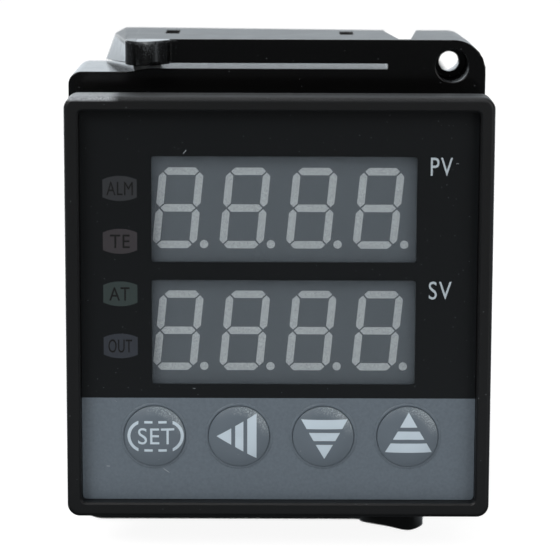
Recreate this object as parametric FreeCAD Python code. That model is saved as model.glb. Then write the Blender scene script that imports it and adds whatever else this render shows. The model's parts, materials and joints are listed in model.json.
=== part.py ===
"""PID temperature controller, 48 x 48 mm panel class, with its push-on mounting bracket.

Frame: +X to the viewer's right, +Y back through the panel, +Z up, in millimetres.
The origin is the centre of the panel cut-out, in the plane where the flange meets the panel.
"""
import FreeCAD
import Part

import math
import os

Vector = FreeCAD.Vector

# ---------------------------------------------------------------- driving dimensions
# Bezel: the moulded front frame
BEZEL_SIZE = 48.0
BEZEL_DEPTH = 3.0
BEZEL_CORNER = 1.4
BEZEL_EDGE = 0.5
BEZEL_RIM = 1.6
OPENING_CORNER = 0.5
OPENING_CHAMFER = 0.2
PARTING_CHAMFER = 0.2
SKIRT_WALL = 1.3

# Front film, lens sheet and display windows
OVERLAY_RECESS = 1.7
OVERLAY_THICKNESS = 0.3
OVERLAY_GAP = 0.05
LENS_THICKNESS = 0.8
LENS_BORDER = 1.2
LENS_GAP = 0.1
WINDOW_CORNER = 0.3
WINDOW_TOP_MARGIN = 2.05
WINDOW_SPACING = 2.05
WINDOW_KEY_SPACE = 2.55
WINDOW_LEFT_SPACE = 1.625
LEGEND_MARGIN = 3.75

# Indicator lenses, a column of four to the left of the displays
INDICATOR_WIDTH = 3.85
INDICATOR_HEIGHT = 2.85
INDICATOR_SIDE = 2.0
INDICATOR_COUNT = 4
INDICATOR_TOP_MARGIN = 5.7
INDICATOR_FOOT = 4.4
LED_WIDTH = 2.0
LED_HEIGHT = 1.8
LED_BASE_DEPTH = 1.0
LED_BASE_RIM = 0.2
LED_WALL_GAP = 0.1

# Keys
KEY_NAMES = ("set", "shift", "down", "up")
KEY_SPACING = 1.3
KEY_SIDE_MARGIN = 4.8
KEY_WALL_GAP = 0.15
KEY_CENTRE_X = 0.3
KEY_PROUD = 0.7
KEY_SHOULDER = 0.245
DOME_BEND_RADIUS = 0.72
DOME_BEND_DEPTH = 0.246
KEY_TRAVEL = 0.3
KEY_GAP = 0.1
KEY_FLANGE = 0.7
KEY_FLANGE_DEPTH = 0.6
KEY_STEM_DIAMETER = 3.2
SWITCH_SIZE = 6.2
SWITCH_DEPTH = 3.5
PLUNGER_DIAMETER = 3.5
PLUNGER_PROUD = 1.0
PLUNGER_SUNK = 1.2
PLUNGER_GAP = 0.08
PLUNGER_OVERTRAVEL = 0.2

# Four-digit seven-segment displays
DISPLAY_SIDE_RIM = 0.4
DISPLAY_END_RIM = 0.85
DISPLAY_DEPTH = 7.0
DISPLAY_GAP = 0.1
DIGIT_COUNT = 4
DIGIT_END_MARGIN = 1.4
DIGIT_ROW_MARGIN = 0.22
DIGIT_SPACING = 2.54
DIGIT_BLOCK_X = -0.65
DIGIT_SLANT = math.radians(5.7)
SEGMENT_THICKNESS = 0.85
SEGMENT_GAP = 0.12
SEGMENT_DEPTH = 1.2
POINT_DIAMETER = 0.95
POINT_SPACING = 0.85

# Boards
BOARD_THICKNESS = 1.6
BOARD_EDGE_GAP = 0.3
SIDE_BOARD_WALL_GAP = 2.8
SIDE_BOARD_RAIL_GAP = 1.4
SIDE_BOARD_END_GAP = 4.0
HEADER_SIZE = 2.5
PIN_SIZE = 0.64
PIN_PITCH = 2.54
PIN_COUNT = 12
PIN_LENGTH = 1.5
PIN_BEND = 0.8

# Parts on the power board
TRANSFORMER_SOCKET_GAP = 4.0
TRANSFORMER_LENGTH = 21.0
TRANSFORMER_END_GAP = 6.7
TRANSFORMER_CAN_GAP = 3.4
TRANSFORMER_STACK = 9.0
WINDING_GAP = 0.2
WINDING_CORNER = 3.0
WINDING_BORE_GAP = 0.1
WINDING_TAB_GAP = 0.15
RELAY_BOARD_GAP = 7.0
RELAY_RAIL_GAP = 2.1
RELAY_HEIGHT = 15.2
RELAY_GAP = 1.4
RELAY_EDGE = 0.6
FILTER_CAN_DIAMETER = 8.0
FILTER_CAN_HEIGHT = 12.0
FILTER_CAN_Z = 9.0
FILTER_CAN_GAP = 0.6
FILTER_CAN_REAR_GAP = 0.4
VARISTOR_DIAMETER = 7.2
VARISTOR_THICKNESS = 4.0
REGULATOR_BODY = 9.0
REGULATOR_TAB = 15.5
REGULATOR_THICKNESS = 4.0
REGULATOR_TAB_THICKNESS = 1.2
REGULATOR_WIDTH = 9.7
LEG_LENGTH = 3.0
LEG_WIDTH = 0.8

# Parts on the main board
SMALL_CAN_DIAMETER = 5.0
SMALL_CAN_HEIGHT = 11.0
SMALL_CAN_RAIL_GAP = 2.2
SMALL_CAN_FRONT_YS = (20.0, 28.0)
SMALL_CAN_SOCKET_GAP = 2.5
RESISTOR_COUNT = 8
RESISTOR_Y = 17.0
RESISTOR_CHIP_GAP = 6.0
RESISTOR_Z = -1.0
RESISTOR_DIAMETER = 2.0
RESISTOR_LENGTH = 6.0
RESISTOR_LEAD_SPAN = 8.6
RESISTOR_LEAD = 0.6
CHIP_THICKNESS = 3.3
CHIP_STAND = 0.5
CHIP_LEG_REACH = 0.5
CHIP_LEG_WIDTH = 0.6
CONTROLLER_CHIP_SOCKET_GAP = 12.0
CONTROLLER_CHIP_WIDTH = 7.0
CONTROLLER_CHIP_Y = 14.0
CONTROLLER_CHIP_RAIL_GAP = 2.7
SMALL_CHIP_LENGTH = 9.6
SMALL_CHIP_WIDTH = 6.4
AMPLIFIER_CHIP_Y = 34.0
AMPLIFIER_CHIP_RAIL_GAP = 1.0
DRIVER_CHIP_SOCKET_GAP = 0.4

# Case
FLANGE_DEPTH = 1.5
FLANGE_LIP = 1.6
CASE_CORNER = 1.2
BORE_CORNER = 0.6
CASE_WALL = 1.8
CASE_LENGTH = 76.0
CASE_FIT = 0.1
RAIL_WALL = 1.0
RAIL_GAP = 0.1
RAIL_OVERLAP = 1.0
RAIL_END_GAP = 2.5
RATCHET_PITCH = 1.6
RATCHET_DEPTH = 0.6
TOOTH_FRACTION = 0.85
RATCHET_START = 4.0
RATCHET_END_GAP = 2.0
RATCHET_SIDE_GAP = 0.6
VENT_WIDTH = 1.5
VENT_LENGTH = 14.0
VENT_PITCH = 4.0
VENT_COUNT = 7
VENT_END_GAP = 6.0
LATCH_WIDTH = 6.0
LATCH_LENGTH = 2.4
LATCH_Y = 3.0
LATCH_INSET = 10.4
LATCH_PROUD = 1.0
LATCH_ROOT = 0.2
LATCH_GAP = 0.15
LATCH_NIB = 0.1

# Terminal block
BLOCK_PLUG_DEPTH = 3.0
BLOCK_INSET = 0.4
TERMINAL_FLOOR = 8.0
BARRIER_HEIGHT = 4.0
BARRIER_THICKNESS = 1.1
BARRIER_CHAMFER = 1.2
TERMINAL_END_LAND = 0.35
TERMINAL_COUNT = 6
TERMINAL_INSET = 7.9
RIDGE_HALF_WIDTH = 5.6
RIDGE_HEIGHT = 6.0
RIDGE_CHAMFER = 0.8
SNAP_WIDTH = 8.0
SNAP_LENGTH = 1.6
SNAP_ROOT = 1.0
SNAP_PROUD = 1.1
SNAP_GAP = 0.1
CONTACT_SIDE_GAP = 0.15
CONTACT_THICKNESS = 1.0
CONTACT_SUNK = 0.6
CONTACT_REACH = 3.6
TAIL_THICKNESS = 0.8
TAIL_WIDTH = 3.0
TAIL_LENGTH = 18.0
CONTACT_FIT = 0.1
SCREW_DIAMETER = 2.9
SCREW_LENGTH = 6.0
SCREW_GAP = 0.05
SCREW_WELL_GAP = 0.3
SCREW_HEAD_GAP = 0.05
SCREW_HEAD_HEIGHT = 1.9
SCREW_HEAD_EDGE = 0.5
SCREW_SLOT_WIDTH = 0.8
SCREW_SLOT_DEPTH = 1.0
SCREW_CROSS_LENGTH = 2.9
WASHER_THICKNESS = 0.8
WASHER_LIP = 0.5
WASHER_GAP = 0.15
SOCKET_LENGTH = 8.0
SOCKET_HALF_WIDTH = 1.0

# Mounting bracket, in its own centred X and Z
BRACKET_FRONT_Y = 9.2
BRACKET_DEPTH = 15.0
BRACKET_SHIFT_X = -0.3
BRACKET_SIDE_GAP = 0.45
BRACKET_END_GAP = 0.3
RING_SIDE = 1.35
UPPER_BAR = 3.2
LOWER_BAR = 1.85
RING_CORNER = 1.5
RING_RELIEF = 0.4
RELIEF_RUN = 3.0
RELIEF_BULGE = 0.13
ARM_SLOT = 0.62
ARM_THICKNESS = 2.78
ARM_ROOT_INSET = 11.35
ARM_TIP_INSET = 6.7
ARM_REAR_RISE = 0.25
HEEL_ROOT = 1.0
HEEL_FOOT_REACH = 3.3
HEEL_FOOT_GAP = 0.12
HEEL_BEND_REACH = 2.1
HEEL_BEND_DROP = 0.7
HEEL_TOP_REACH = 0.8
HEEL_CORNER = 0.15
NOSE_WIDTH = 4.1
NOSE_ROOT = 0.5
UPPER_NOSE_REACH = 4.0
LOWER_NOSE_REACH = 4.9
UPPER_NOSE_FLANK = 1.5
LOWER_NOSE_FLANK = 4.8
NOSE_TIP = ((0.0, 0.35), (0.13, 0.72), (0.47, 1.0), (0.86, 0.78))
NOSE_FLANK = ((0.35, 0.45), (0.7, 0.13), (1.0, 0.0))
BLOCK_CORNER = 3.7
BLOCK_TAPER = 1.3
BLOCK_TAPER_ANGLE = math.radians(24.5)
CHEEK_DEPTH = 3.0
HINGE_NOTCH_DEPTH = 1.4
HINGE_NOTCH_INSET = 2.0
HINGE_NOTCH_FRONT = 1.0
HINGE_NOTCH_MOUTH = 4.0
HINGE_NOTCH_FACE = 1.25
PIT_WIDTH = 1.6
PIT_LENGTH = 4.5
PIT_DEPTH = 0.3
PIT_START = 7.2
TIP_PIT_INSET = 5.1
ROOT_PIT_INSET = 4.55
PAWL_INSET = 2.0
PAWL_WIDTH = 3.4
PAWL_START = 9.0
PAWL_LENGTH = 4.5
PAWL_GAP = 0.12
PAWL_WINDOW_GAP = 0.5
PAWL_NOTCHES = 2
PAWL_LEAD = 0.5
ROOT_OVERLAP = 0.2
JACK_INSET = 3.85
JACK_RISE = 0.4
JACK_BORE_DIAMETER = 3.9
JACK_BORE_DEPTH = 6.2
JACK_REAR_BORE_DIAMETER = 3.6
JACK_THREAD_DIAMETER = 2.35
JACK_WEB = 1.6

# ---------------------------------------------------------------- planes along Y
PANEL_Y = 0.0
BEZEL_REAR_Y = PANEL_Y - FLANGE_DEPTH
FRONT_Y = BEZEL_REAR_Y - BEZEL_DEPTH
OVERLAY_Y = FRONT_Y + OVERLAY_RECESS
PLATE_Y = OVERLAY_Y + OVERLAY_THICKNESS
LENS_REAR_Y = PLATE_Y + LENS_THICKNESS
DISPLAY_Y = LENS_REAR_Y + DISPLAY_GAP
DISPLAY_BOARD_Y = DISPLAY_Y + DISPLAY_DEPTH
DISPLAY_BOARD_REAR_Y = DISPLAY_BOARD_Y + BOARD_THICKNESS
SWITCH_FRONT_Y = DISPLAY_BOARD_Y - SWITCH_DEPTH
PLUNGER_FRONT_Y = SWITCH_FRONT_Y - PLUNGER_PROUD
CASE_REAR_Y = PANEL_Y + CASE_LENGTH
BLOCK_Y = CASE_REAR_Y - BLOCK_PLUG_DEPTH
VENT_REAR_Y = BLOCK_Y - VENT_END_GAP
SIDE_BOARD_REAR_Y = BLOCK_Y - SIDE_BOARD_END_GAP
FLOOR_Y = CASE_REAR_Y + TERMINAL_FLOOR

# ---------------------------------------------------------------- derived sizes
SIDES = (-1, 1)
HAIR = 1e-4

# Bezel and case
BEZEL_OPENING = BEZEL_SIZE - 2 * BEZEL_RIM
CASE_SIZE = BEZEL_SIZE - 2 * FLANGE_LIP
CASE_HALF = CASE_SIZE / 2
CASE_INNER = CASE_SIZE - 2 * CASE_WALL
SKIRT_SIZE = CASE_INNER - 2 * CASE_FIT
SKIRT_INNER = SKIRT_SIZE - 2 * SKIRT_WALL
LATCH_Z = CASE_HALF - LATCH_INSET

# Keys
KEY_PITCH = (SKIRT_INNER - 2 * KEY_SIDE_MARGIN) / (len(KEY_NAMES) - 1)
KEY_DIAMETER = KEY_PITCH - 2 * KEY_FLANGE - KEY_SPACING
KEY_Z = -(SKIRT_INNER / 2 - KEY_WALL_GAP - KEY_FLANGE - KEY_DIAMETER / 2)
KEY_CENTRES = tuple(
    KEY_CENTRE_X + (i - (len(KEY_NAMES) - 1) / 2) * KEY_PITCH for i in range(len(KEY_NAMES)))

# Windows, displays and digits
WINDOW_TOP = SKIRT_INNER / 2 - WINDOW_TOP_MARGIN
WINDOW_BOTTOM = KEY_Z + KEY_DIAMETER / 2 + WINDOW_KEY_SPACE
WINDOW_HEIGHT = (WINDOW_TOP - WINDOW_BOTTOM - WINDOW_SPACING) / 2
WINDOW_CENTRES = (WINDOW_TOP - WINDOW_HEIGHT / 2, WINDOW_BOTTOM + WINDOW_HEIGHT / 2)
INDICATOR_X = LED_WIDTH / 2 + LED_BASE_RIM + LED_WALL_GAP - SKIRT_INNER / 2
WINDOW_LEFT = INDICATOR_X + INDICATOR_WIDTH / 2 + WINDOW_LEFT_SPACE
WINDOW_RIGHT = SKIRT_INNER / 2 - LEGEND_MARGIN
WINDOW_WIDTH = WINDOW_RIGHT - WINDOW_LEFT
WINDOW_X = (WINDOW_LEFT + WINDOW_RIGHT) / 2
DISPLAY_WIDTH = WINDOW_WIDTH + 2 * DISPLAY_SIDE_RIM
DISPLAY_HEIGHT = WINDOW_HEIGHT + 2 * DISPLAY_END_RIM
DIGIT_PITCH = (DISPLAY_WIDTH - 2 * DIGIT_ROW_MARGIN) / DIGIT_COUNT
DIGIT_WIDTH = DIGIT_PITCH - DIGIT_SPACING
DIGIT_HEIGHT = WINDOW_HEIGHT - 2 * DIGIT_END_MARGIN
POINT_OFFSET_X = DIGIT_WIDTH / 2 + POINT_SPACING

# Indicators
INDICATOR_Z = SKIRT_INNER / 2 - INDICATOR_TOP_MARGIN
INDICATOR_PITCH = (INDICATOR_Z - WINDOW_BOTTOM - INDICATOR_FOOT) / (INDICATOR_COUNT - 1)
INDICATOR_CENTRES = tuple(INDICATOR_Z - i * INDICATOR_PITCH for i in range(INDICATOR_COUNT))

# Side boards and the parts on them
SIDE_BOARD_X = CASE_INNER / 2 - SIDE_BOARD_WALL_GAP - BOARD_THICKNESS
SIDE_BOARD_HALF_HEIGHT = CASE_INNER / 2 - SIDE_BOARD_RAIL_GAP
RAIL_EDGE_Z = SIDE_BOARD_HALF_HEIGHT - RAIL_OVERLAP
RELAY_WIDTH = RAIL_EDGE_Z - RELAY_GAP / 2 - RELAY_RAIL_GAP
TRANSFORMER_RISE = 2 * SIDE_BOARD_X - SMALL_CAN_HEIGHT - TRANSFORMER_CAN_GAP
TRANSFORMER_HALF_HEIGHT = SIDE_BOARD_HALF_HEIGHT - TRANSFORMER_END_GAP
REGULATOR_Z = SIDE_BOARD_HALF_HEIGHT - BOARD_EDGE_GAP - REGULATOR_WIDTH
WINDING_REACH = REGULATOR_Z - WINDING_TAB_GAP
CORE_WINDOW_SPAN = 2 * (WINDING_REACH + WINDING_GAP) - TRANSFORMER_HALF_HEIGHT
SOCKET_Y = SIDE_BOARD_REAR_Y - SOCKET_LENGTH
TRANSFORMER_MIDDLE_Y = SOCKET_Y - TRANSFORMER_SOCKET_GAP - TRANSFORMER_STACK / 2
TRANSFORMER_Y = TRANSFORMER_MIDDLE_Y - TRANSFORMER_LENGTH / 2
FILTER_CAN_Y = TRANSFORMER_Y - FILTER_CAN_REAR_GAP - FILTER_CAN_DIAMETER / 2
RELAY_Y = DISPLAY_BOARD_REAR_Y + RELAY_BOARD_GAP
RELAY_LENGTH = FILTER_CAN_Y - FILTER_CAN_DIAMETER / 2 - FILTER_CAN_GAP - RELAY_Y
DRIVER_CHIP_Y = SOCKET_Y - DRIVER_CHIP_SOCKET_GAP - SMALL_CHIP_LENGTH
CONTROLLER_CHIP_LENGTH = SOCKET_Y - CONTROLLER_CHIP_SOCKET_GAP - CONTROLLER_CHIP_Y
RESISTOR_PITCH = (DRIVER_CHIP_Y - RESISTOR_CHIP_GAP - RESISTOR_Y) / (RESISTOR_COUNT - 1)
SMALL_CAN_REAR_Y = SOCKET_Y - SMALL_CAN_SOCKET_GAP - SMALL_CAN_DIAMETER / 2
SMALL_CAN_Z = RAIL_EDGE_Z - SMALL_CAN_RAIL_GAP - SMALL_CAN_DIAMETER / 2
CONTROLLER_CHIP_Z = RAIL_EDGE_Z - CONTROLLER_CHIP_RAIL_GAP - CHIP_LEG_REACH - CONTROLLER_CHIP_WIDTH / 2
AMPLIFIER_CHIP_Z = AMPLIFIER_CHIP_RAIL_GAP + CHIP_LEG_REACH + SMALL_CHIP_WIDTH / 2 - RAIL_EDGE_Z

# Terminals
PLUG_HALF = CASE_INNER / 2 - CASE_FIT
BLOCK_HALF = PLUG_HALF - BLOCK_INSET
TERMINAL_PITCH = (2 * (BLOCK_HALF - TERMINAL_END_LAND) - BARRIER_THICKNESS) / TERMINAL_COUNT
TERMINAL_CENTRES = tuple(
    (i - (TERMINAL_COUNT - 1) / 2) * TERMINAL_PITCH for i in range(TERMINAL_COUNT))
TERMINAL_X = BLOCK_HALF - TERMINAL_INSET
CONTACT_WIDTH = TERMINAL_PITCH - BARRIER_THICKNESS - 2 * CONTACT_SIDE_GAP
CONTACT_INNER_X = TERMINAL_X - CONTACT_REACH
TAIL_X = SIDE_BOARD_X - SOCKET_HALF_WIDTH
WASHER_SIZE = CONTACT_WIDTH
SCREW_HEAD_DIAMETER = TERMINAL_PITCH - BARRIER_THICKNESS - 2 * SCREW_HEAD_GAP

# Mounting bracket; heights of the arm set count from the outer face of the ring's bar
RING_INNER_X = CASE_HALF + BRACKET_SIDE_GAP
RING_INNER_Z = CASE_HALF + BRACKET_END_GAP
BRACKET_HALF_WIDTH = RING_INNER_X + RING_SIDE
ARM_BOTTOM = ARM_SLOT
ARM_TOP = ARM_BOTTOM + ARM_THICKNESS
ARM_ROOT_X = BRACKET_HALF_WIDTH - ARM_ROOT_INSET
ARM_TIP_X = ARM_TIP_INSET - BRACKET_HALF_WIDTH
HINGE_NOTCH_X = ARM_ROOT_X + HINGE_NOTCH_INSET
PIT_POSITIONS = (ARM_TIP_X + TIP_PIT_INSET, ARM_ROOT_X - ROOT_PIT_INSET)
PAWL_X = ARM_TIP_X + PAWL_INSET
RATCHET_WIDTH = PAWL_WIDTH + 2 * RATCHET_SIDE_GAP
JACK_X = BRACKET_HALF_WIDTH - JACK_INSET


# ---------------------------------------------------------------- shape helpers
def block(x0, x1, y0, y1, z0, z1):
    """Box between two corners."""
    return Part.makeBox(x1 - x0, y1 - y0, z1 - z0, Vector(x0, y0, z0))


def rod(diameter, x, z, y0, y1):
    """Round bar along Y."""
    return Part.makeCylinder(diameter / 2, y1 - y0, Vector(x, y0, z), Vector(0, 1, 0))


def face_from(points):
    """Flat face from a ring of points."""
    return Part.Face(Part.makePolygon(points + points[:1]))


def face_inside(edges):
    """Flat face inside a closed ring of edges."""
    return Part.Face(Part.Wire(edges))


def round_rect(width, height, corner, y0, y1, x=0.0, z=0.0):
    """Bar of rounded rectangular section along Y."""
    w = width / 2
    h = height / 2
    corners = ((w - corner, h - corner), (corner - w, h - corner),
               (corner - w, corner - h), (w - corner, corner - h))
    edges = []
    ends = []
    for i, (cx, cz) in enumerate(corners):
        turn = [math.radians(90 * i + step) for step in (0, 45, 90)]
        arc = [Vector(x + cx + corner * math.cos(a), y0, z + cz + corner * math.sin(a)) for a in turn]
        edges.append(Part.Arc(*arc).toShape())
        ends.append((arc[0], arc[2]))
    sides = [Part.makeLine(ends[i][1], ends[(i + 1) % 4][0]) for i in range(4)]
    ring = [edge for pair in zip(edges, sides) for edge in pair]
    return face_inside(ring).extrude(Vector(0, y1 - y0, 0))


def edges_at(shape, test):
    """Edges whose centre passes the test."""
    return [edge for edge in shape.Edges if test(edge.CenterOfMass, edge)]


def near(a, b):
    """Equal to within a hair."""
    return abs(a - b) < HAIR


def fuse_all(shapes):
    """One solid from several that touch or overlap."""
    return shapes[0].multiFuse(shapes[1:]).removeSplitter() if len(shapes) > 1 else shapes[0]


def group(shapes):
    """Separate solids kept together in one node."""
    solids = [solid for shape in shapes for solid in shape.Solids]
    return Part.makeCompound(solids)


def both_sides(shape):
    """The shape and its mirror image across the centre plane X = 0."""
    return [shape, shape.mirror(Vector(0, 0, 0), Vector(1, 0, 0))]


# ---------------------------------------------------------------- front
def indicator_section(y0, y1, z, grow=0.0):
    """Barrel-sided pill: flat at the sides, bowed at top and bottom."""
    w = INDICATOR_WIDTH / 2 + grow
    side = INDICATOR_SIDE / 2 + grow
    top = INDICATOR_HEIGHT / 2 + grow
    corner = [Vector(INDICATOR_X + sx * w, y0, z + sz * side)
              for sx, sz in ((-1, 1), (1, 1), (1, -1), (-1, -1))]
    upper = Part.Arc(corner[0], Vector(INDICATOR_X, y0, z + top), corner[1]).toShape()
    lower = Part.Arc(corner[2], Vector(INDICATOR_X, y0, z - top), corner[3]).toShape()
    ring = [upper, Part.makeLine(corner[1], corner[2]), lower, Part.makeLine(corner[3], corner[0])]
    return face_inside(ring).extrude(Vector(0, y1 - y0, 0))


def front_openings(y0, y1, windows):
    """Holes through the front for keys and indicators, and the display windows if wanted."""
    cuts = [rod(KEY_DIAMETER + 2 * KEY_GAP, x, KEY_Z, y0, y1) for x in KEY_CENTRES]
    cuts += [indicator_section(y0, y1, z) for z in INDICATOR_CENTRES]
    if windows:
        for z in WINDOW_CENTRES:
            cuts.append(round_rect(WINDOW_WIDTH, WINDOW_HEIGHT, WINDOW_CORNER, y0, y1, WINDOW_X, z))
    return cuts


def lens_box(gap):
    """Outline of the clear lens sheet, grown by a gap."""
    half = WINDOW_WIDTH / 2 + LENS_BORDER + gap
    top = WINDOW_CENTRES[0] + WINDOW_HEIGHT / 2 + LENS_BORDER + gap
    bottom = WINDOW_CENTRES[-1] - WINDOW_HEIGHT / 2 - LENS_BORDER - gap
    return WINDOW_X - half, WINDOW_X + half, bottom, top


def latch_boxes(proud, gap):
    """Four latch places in the side walls: snap hooks of the bezel, or the windows for them."""
    boxes = []
    for z in (-LATCH_Z, LATCH_Z):
        outer = SKIRT_SIZE / 2 + proud
        tongue = block(SKIRT_SIZE / 2 - LATCH_ROOT, outer, LATCH_Y - gap, LATCH_Y + LATCH_LENGTH + gap,
                       z - LATCH_WIDTH / 2 - gap, z + LATCH_WIDTH / 2 + gap)
        boxes += both_sides(tongue)
    return boxes


def make_bezel():
    """Front frame, web plate behind the film, and skirt with four snap hooks."""
    frame = round_rect(BEZEL_SIZE, BEZEL_SIZE, BEZEL_CORNER, FRONT_Y, BEZEL_REAR_Y)
    frame = frame.makeFillet(BEZEL_EDGE, edges_at(frame, lambda c, e: near(c.y, FRONT_Y)))
    frame = frame.makeChamfer(PARTING_CHAMFER, edges_at(frame, lambda c, e: near(c.y, BEZEL_REAR_Y)))
    opening = round_rect(BEZEL_OPENING, BEZEL_OPENING, OPENING_CORNER, FRONT_Y, PLATE_Y)
    frame = frame.cut(opening)
    half = BEZEL_OPENING / 2 + HAIR
    frame = frame.makeChamfer(
        OPENING_CHAMFER,
        edges_at(frame, lambda c, e: near(c.y, FRONT_Y) and max(abs(c.x), abs(c.z)) < half))
    skirt = round_rect(SKIRT_SIZE, SKIRT_SIZE, CASE_CORNER, BEZEL_REAR_Y, DISPLAY_BOARD_Y)
    hollow = round_rect(SKIRT_INNER, SKIRT_INNER, CASE_CORNER, BEZEL_REAR_Y, DISPLAY_BOARD_Y)
    skirt = skirt.cut(hollow)
    hooks = []
    for hook in latch_boxes(LATCH_PROUD, 0.0):
        rear = LATCH_Y + LATCH_LENGTH
        hooks.append(hook.makeChamfer(
            LATCH_PROUD - LATCH_NIB,
            edges_at(hook, lambda c, e: near(c.y, rear) and abs(c.x) > SKIRT_SIZE / 2 + LATCH_NIB
                     and near(e.Length, LATCH_WIDTH))))
    bezel = fuse_all([frame, skirt] + hooks)
    x0, x1, z0, z1 = lens_box(LENS_GAP)
    cuts = front_openings(PLATE_Y, BEZEL_REAR_Y, False)
    cuts.append(block(x0, x1, PLATE_Y, BEZEL_REAR_Y, z0, z1))
    return bezel.cut(Part.makeCompound(cuts))


def make_front_overlay():
    """Printed film with windows, key holes and indicator holes."""
    size = BEZEL_OPENING - 2 * OVERLAY_GAP
    film = round_rect(size, size, OPENING_CORNER, OVERLAY_Y, PLATE_Y)
    return film.cut(Part.makeCompound(front_openings(OVERLAY_Y, PLATE_Y, True)))


def make_display_lens():
    """Clear sheet behind both display windows."""
    x0, x1, z0, z1 = lens_box(0.0)
    return block(x0, x1, PLATE_Y, LENS_REAR_Y, z0, z1)


def make_indicator_lenses():
    """Four light-guide lenses, flush with the film."""
    return group([indicator_section(OVERLAY_Y, BEZEL_REAR_Y, z) for z in INDICATOR_CENTRES])


def make_indicator_leds():
    """Four rectangular indicator lamps, standing on the display board."""
    lamps = []
    for z in INDICATOR_CENTRES:
        w = LED_WIDTH / 2
        h = LED_HEIGHT / 2
        stem = block(INDICATOR_X - w, INDICATOR_X + w, BEZEL_REAR_Y, DISPLAY_BOARD_Y, z - h, z + h)
        w += LED_BASE_RIM
        h += LED_BASE_RIM
        base = block(INDICATOR_X - w, INDICATOR_X + w,
                     DISPLAY_BOARD_Y - LED_BASE_DEPTH, DISPLAY_BOARD_Y, z - h, z + h)
        lamps.append(fuse_all([stem, base]))
    return group(lamps)


# ---------------------------------------------------------------- keys
def make_key(x):
    """Round key with a domed face, a retaining flange and a stem that meets the plunger."""
    radius = KEY_DIAMETER / 2
    dome_y = OVERLAY_Y - KEY_PROUD
    shoulder_y = OVERLAY_Y - KEY_SHOULDER
    flange_rear = BEZEL_REAR_Y + KEY_FLANGE_DEPTH
    stem = KEY_STEM_DIAMETER / 2
    crest = Vector(x, dome_y, KEY_Z)
    shoulder = Vector(x + radius, shoulder_y, KEY_Z)
    bend = Vector(x + radius * DOME_BEND_RADIUS, dome_y + (shoulder_y - dome_y) * DOME_BEND_DEPTH, KEY_Z)
    outline = [Part.Arc(crest, bend, shoulder).toShape(),
               Part.makeLine(shoulder, Vector(x + radius, BEZEL_REAR_Y, KEY_Z))]
    corners = [(radius, BEZEL_REAR_Y), (radius + KEY_FLANGE, BEZEL_REAR_Y),
               (radius + KEY_FLANGE, flange_rear), (stem, flange_rear),
               (stem, PLUNGER_FRONT_Y), (0.0, PLUNGER_FRONT_Y), (0.0, dome_y)]
    places = [Vector(x + r, y, KEY_Z) for r, y in corners]
    outline += [Part.makeLine(a, b) for a, b in zip(places, places[1:])]
    section = face_inside(outline)
    return section.revolve(Vector(x, 0, KEY_Z), Vector(0, 1, 0), 360)


def make_plunger(x):
    """Plunger of one tact switch."""
    return rod(PLUNGER_DIAMETER, x, KEY_Z, PLUNGER_FRONT_Y, SWITCH_FRONT_Y + PLUNGER_SUNK)


def make_key_switches():
    """Four square tact switch bodies on the display board, each with its plunger well."""
    bodies = []
    half = SWITCH_SIZE / 2
    well_floor = SWITCH_FRONT_Y + PLUNGER_SUNK + KEY_TRAVEL + PLUNGER_OVERTRAVEL
    for x in KEY_CENTRES:
        body = block(x - half, x + half, SWITCH_FRONT_Y, DISPLAY_BOARD_Y, KEY_Z - half, KEY_Z + half)
        well = rod(PLUNGER_DIAMETER + 2 * PLUNGER_GAP, x, KEY_Z, SWITCH_FRONT_Y, well_floor)
        bodies.append(body.cut(well))
    return group(bodies)


# ---------------------------------------------------------------- displays
def lean(x, z, centre_x, centre_z):
    """Point of a slanted digit, from upright coordinates about the digit's centre."""
    return Vector(centre_x + x + z * math.tan(DIGIT_SLANT), DISPLAY_Y, centre_z + z)


def segment_outlines():
    """Seven segments of an upright digit, each a six-sided outline about the digit's centre."""
    t = SEGMENT_THICKNESS / 2
    right = DIGIT_WIDTH / 2 - t
    top = DIGIT_HEIGHT / 2 - t
    outlines = []
    for z in (top, 0.0, -top):
        end = right - SEGMENT_GAP
        outlines.append([(-end, z), (t - end, z + t), (end - t, z + t),
                         (end, z), (end - t, z - t), (t - end, z - t)])
    for x in (-right, right):
        for low, high in ((SEGMENT_GAP, top - SEGMENT_GAP), (SEGMENT_GAP - top, -SEGMENT_GAP)):
            outlines.append([(x, high), (x + t, high - t), (x + t, low + t),
                             (x, low), (x - t, low + t), (x - t, high - t)])
    return outlines


def display_segments(centre_z):
    """All lit areas of one display: seven bars and a point for each digit."""
    pieces = []
    block_x = WINDOW_X + DIGIT_BLOCK_X
    for i in range(DIGIT_COUNT):
        x = block_x + (i - (DIGIT_COUNT - 1) / 2) * DIGIT_PITCH
        for outline in segment_outlines():
            ring = [lean(px, pz, x, centre_z) for px, pz in outline]
            pieces.append(face_from(ring).extrude(Vector(0, SEGMENT_DEPTH, 0)))
        low = POINT_DIAMETER / 2 - DIGIT_HEIGHT / 2
        spot = lean(POINT_OFFSET_X, low, x, centre_z)
        pieces.append(rod(POINT_DIAMETER, spot.x, spot.z, DISPLAY_Y, DISPLAY_Y + SEGMENT_DEPTH))
    return pieces


def make_display(centre_z):
    """Display housing with a cavity for each lit area."""
    w = DISPLAY_WIDTH / 2
    h = DISPLAY_HEIGHT / 2
    body = block(WINDOW_X - w, WINDOW_X + w, DISPLAY_Y, DISPLAY_BOARD_Y, centre_z - h, centre_z + h)
    return body.cut(Part.makeCompound(display_segments(centre_z)))


# ---------------------------------------------------------------- boards and parts on them
def make_display_board():
    """Front circuit board that carries displays, lamps and switches."""
    size = CASE_INNER - 2 * BOARD_EDGE_GAP
    return round_rect(size, size, CASE_CORNER, DISPLAY_BOARD_Y, DISPLAY_BOARD_REAR_Y)


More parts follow.
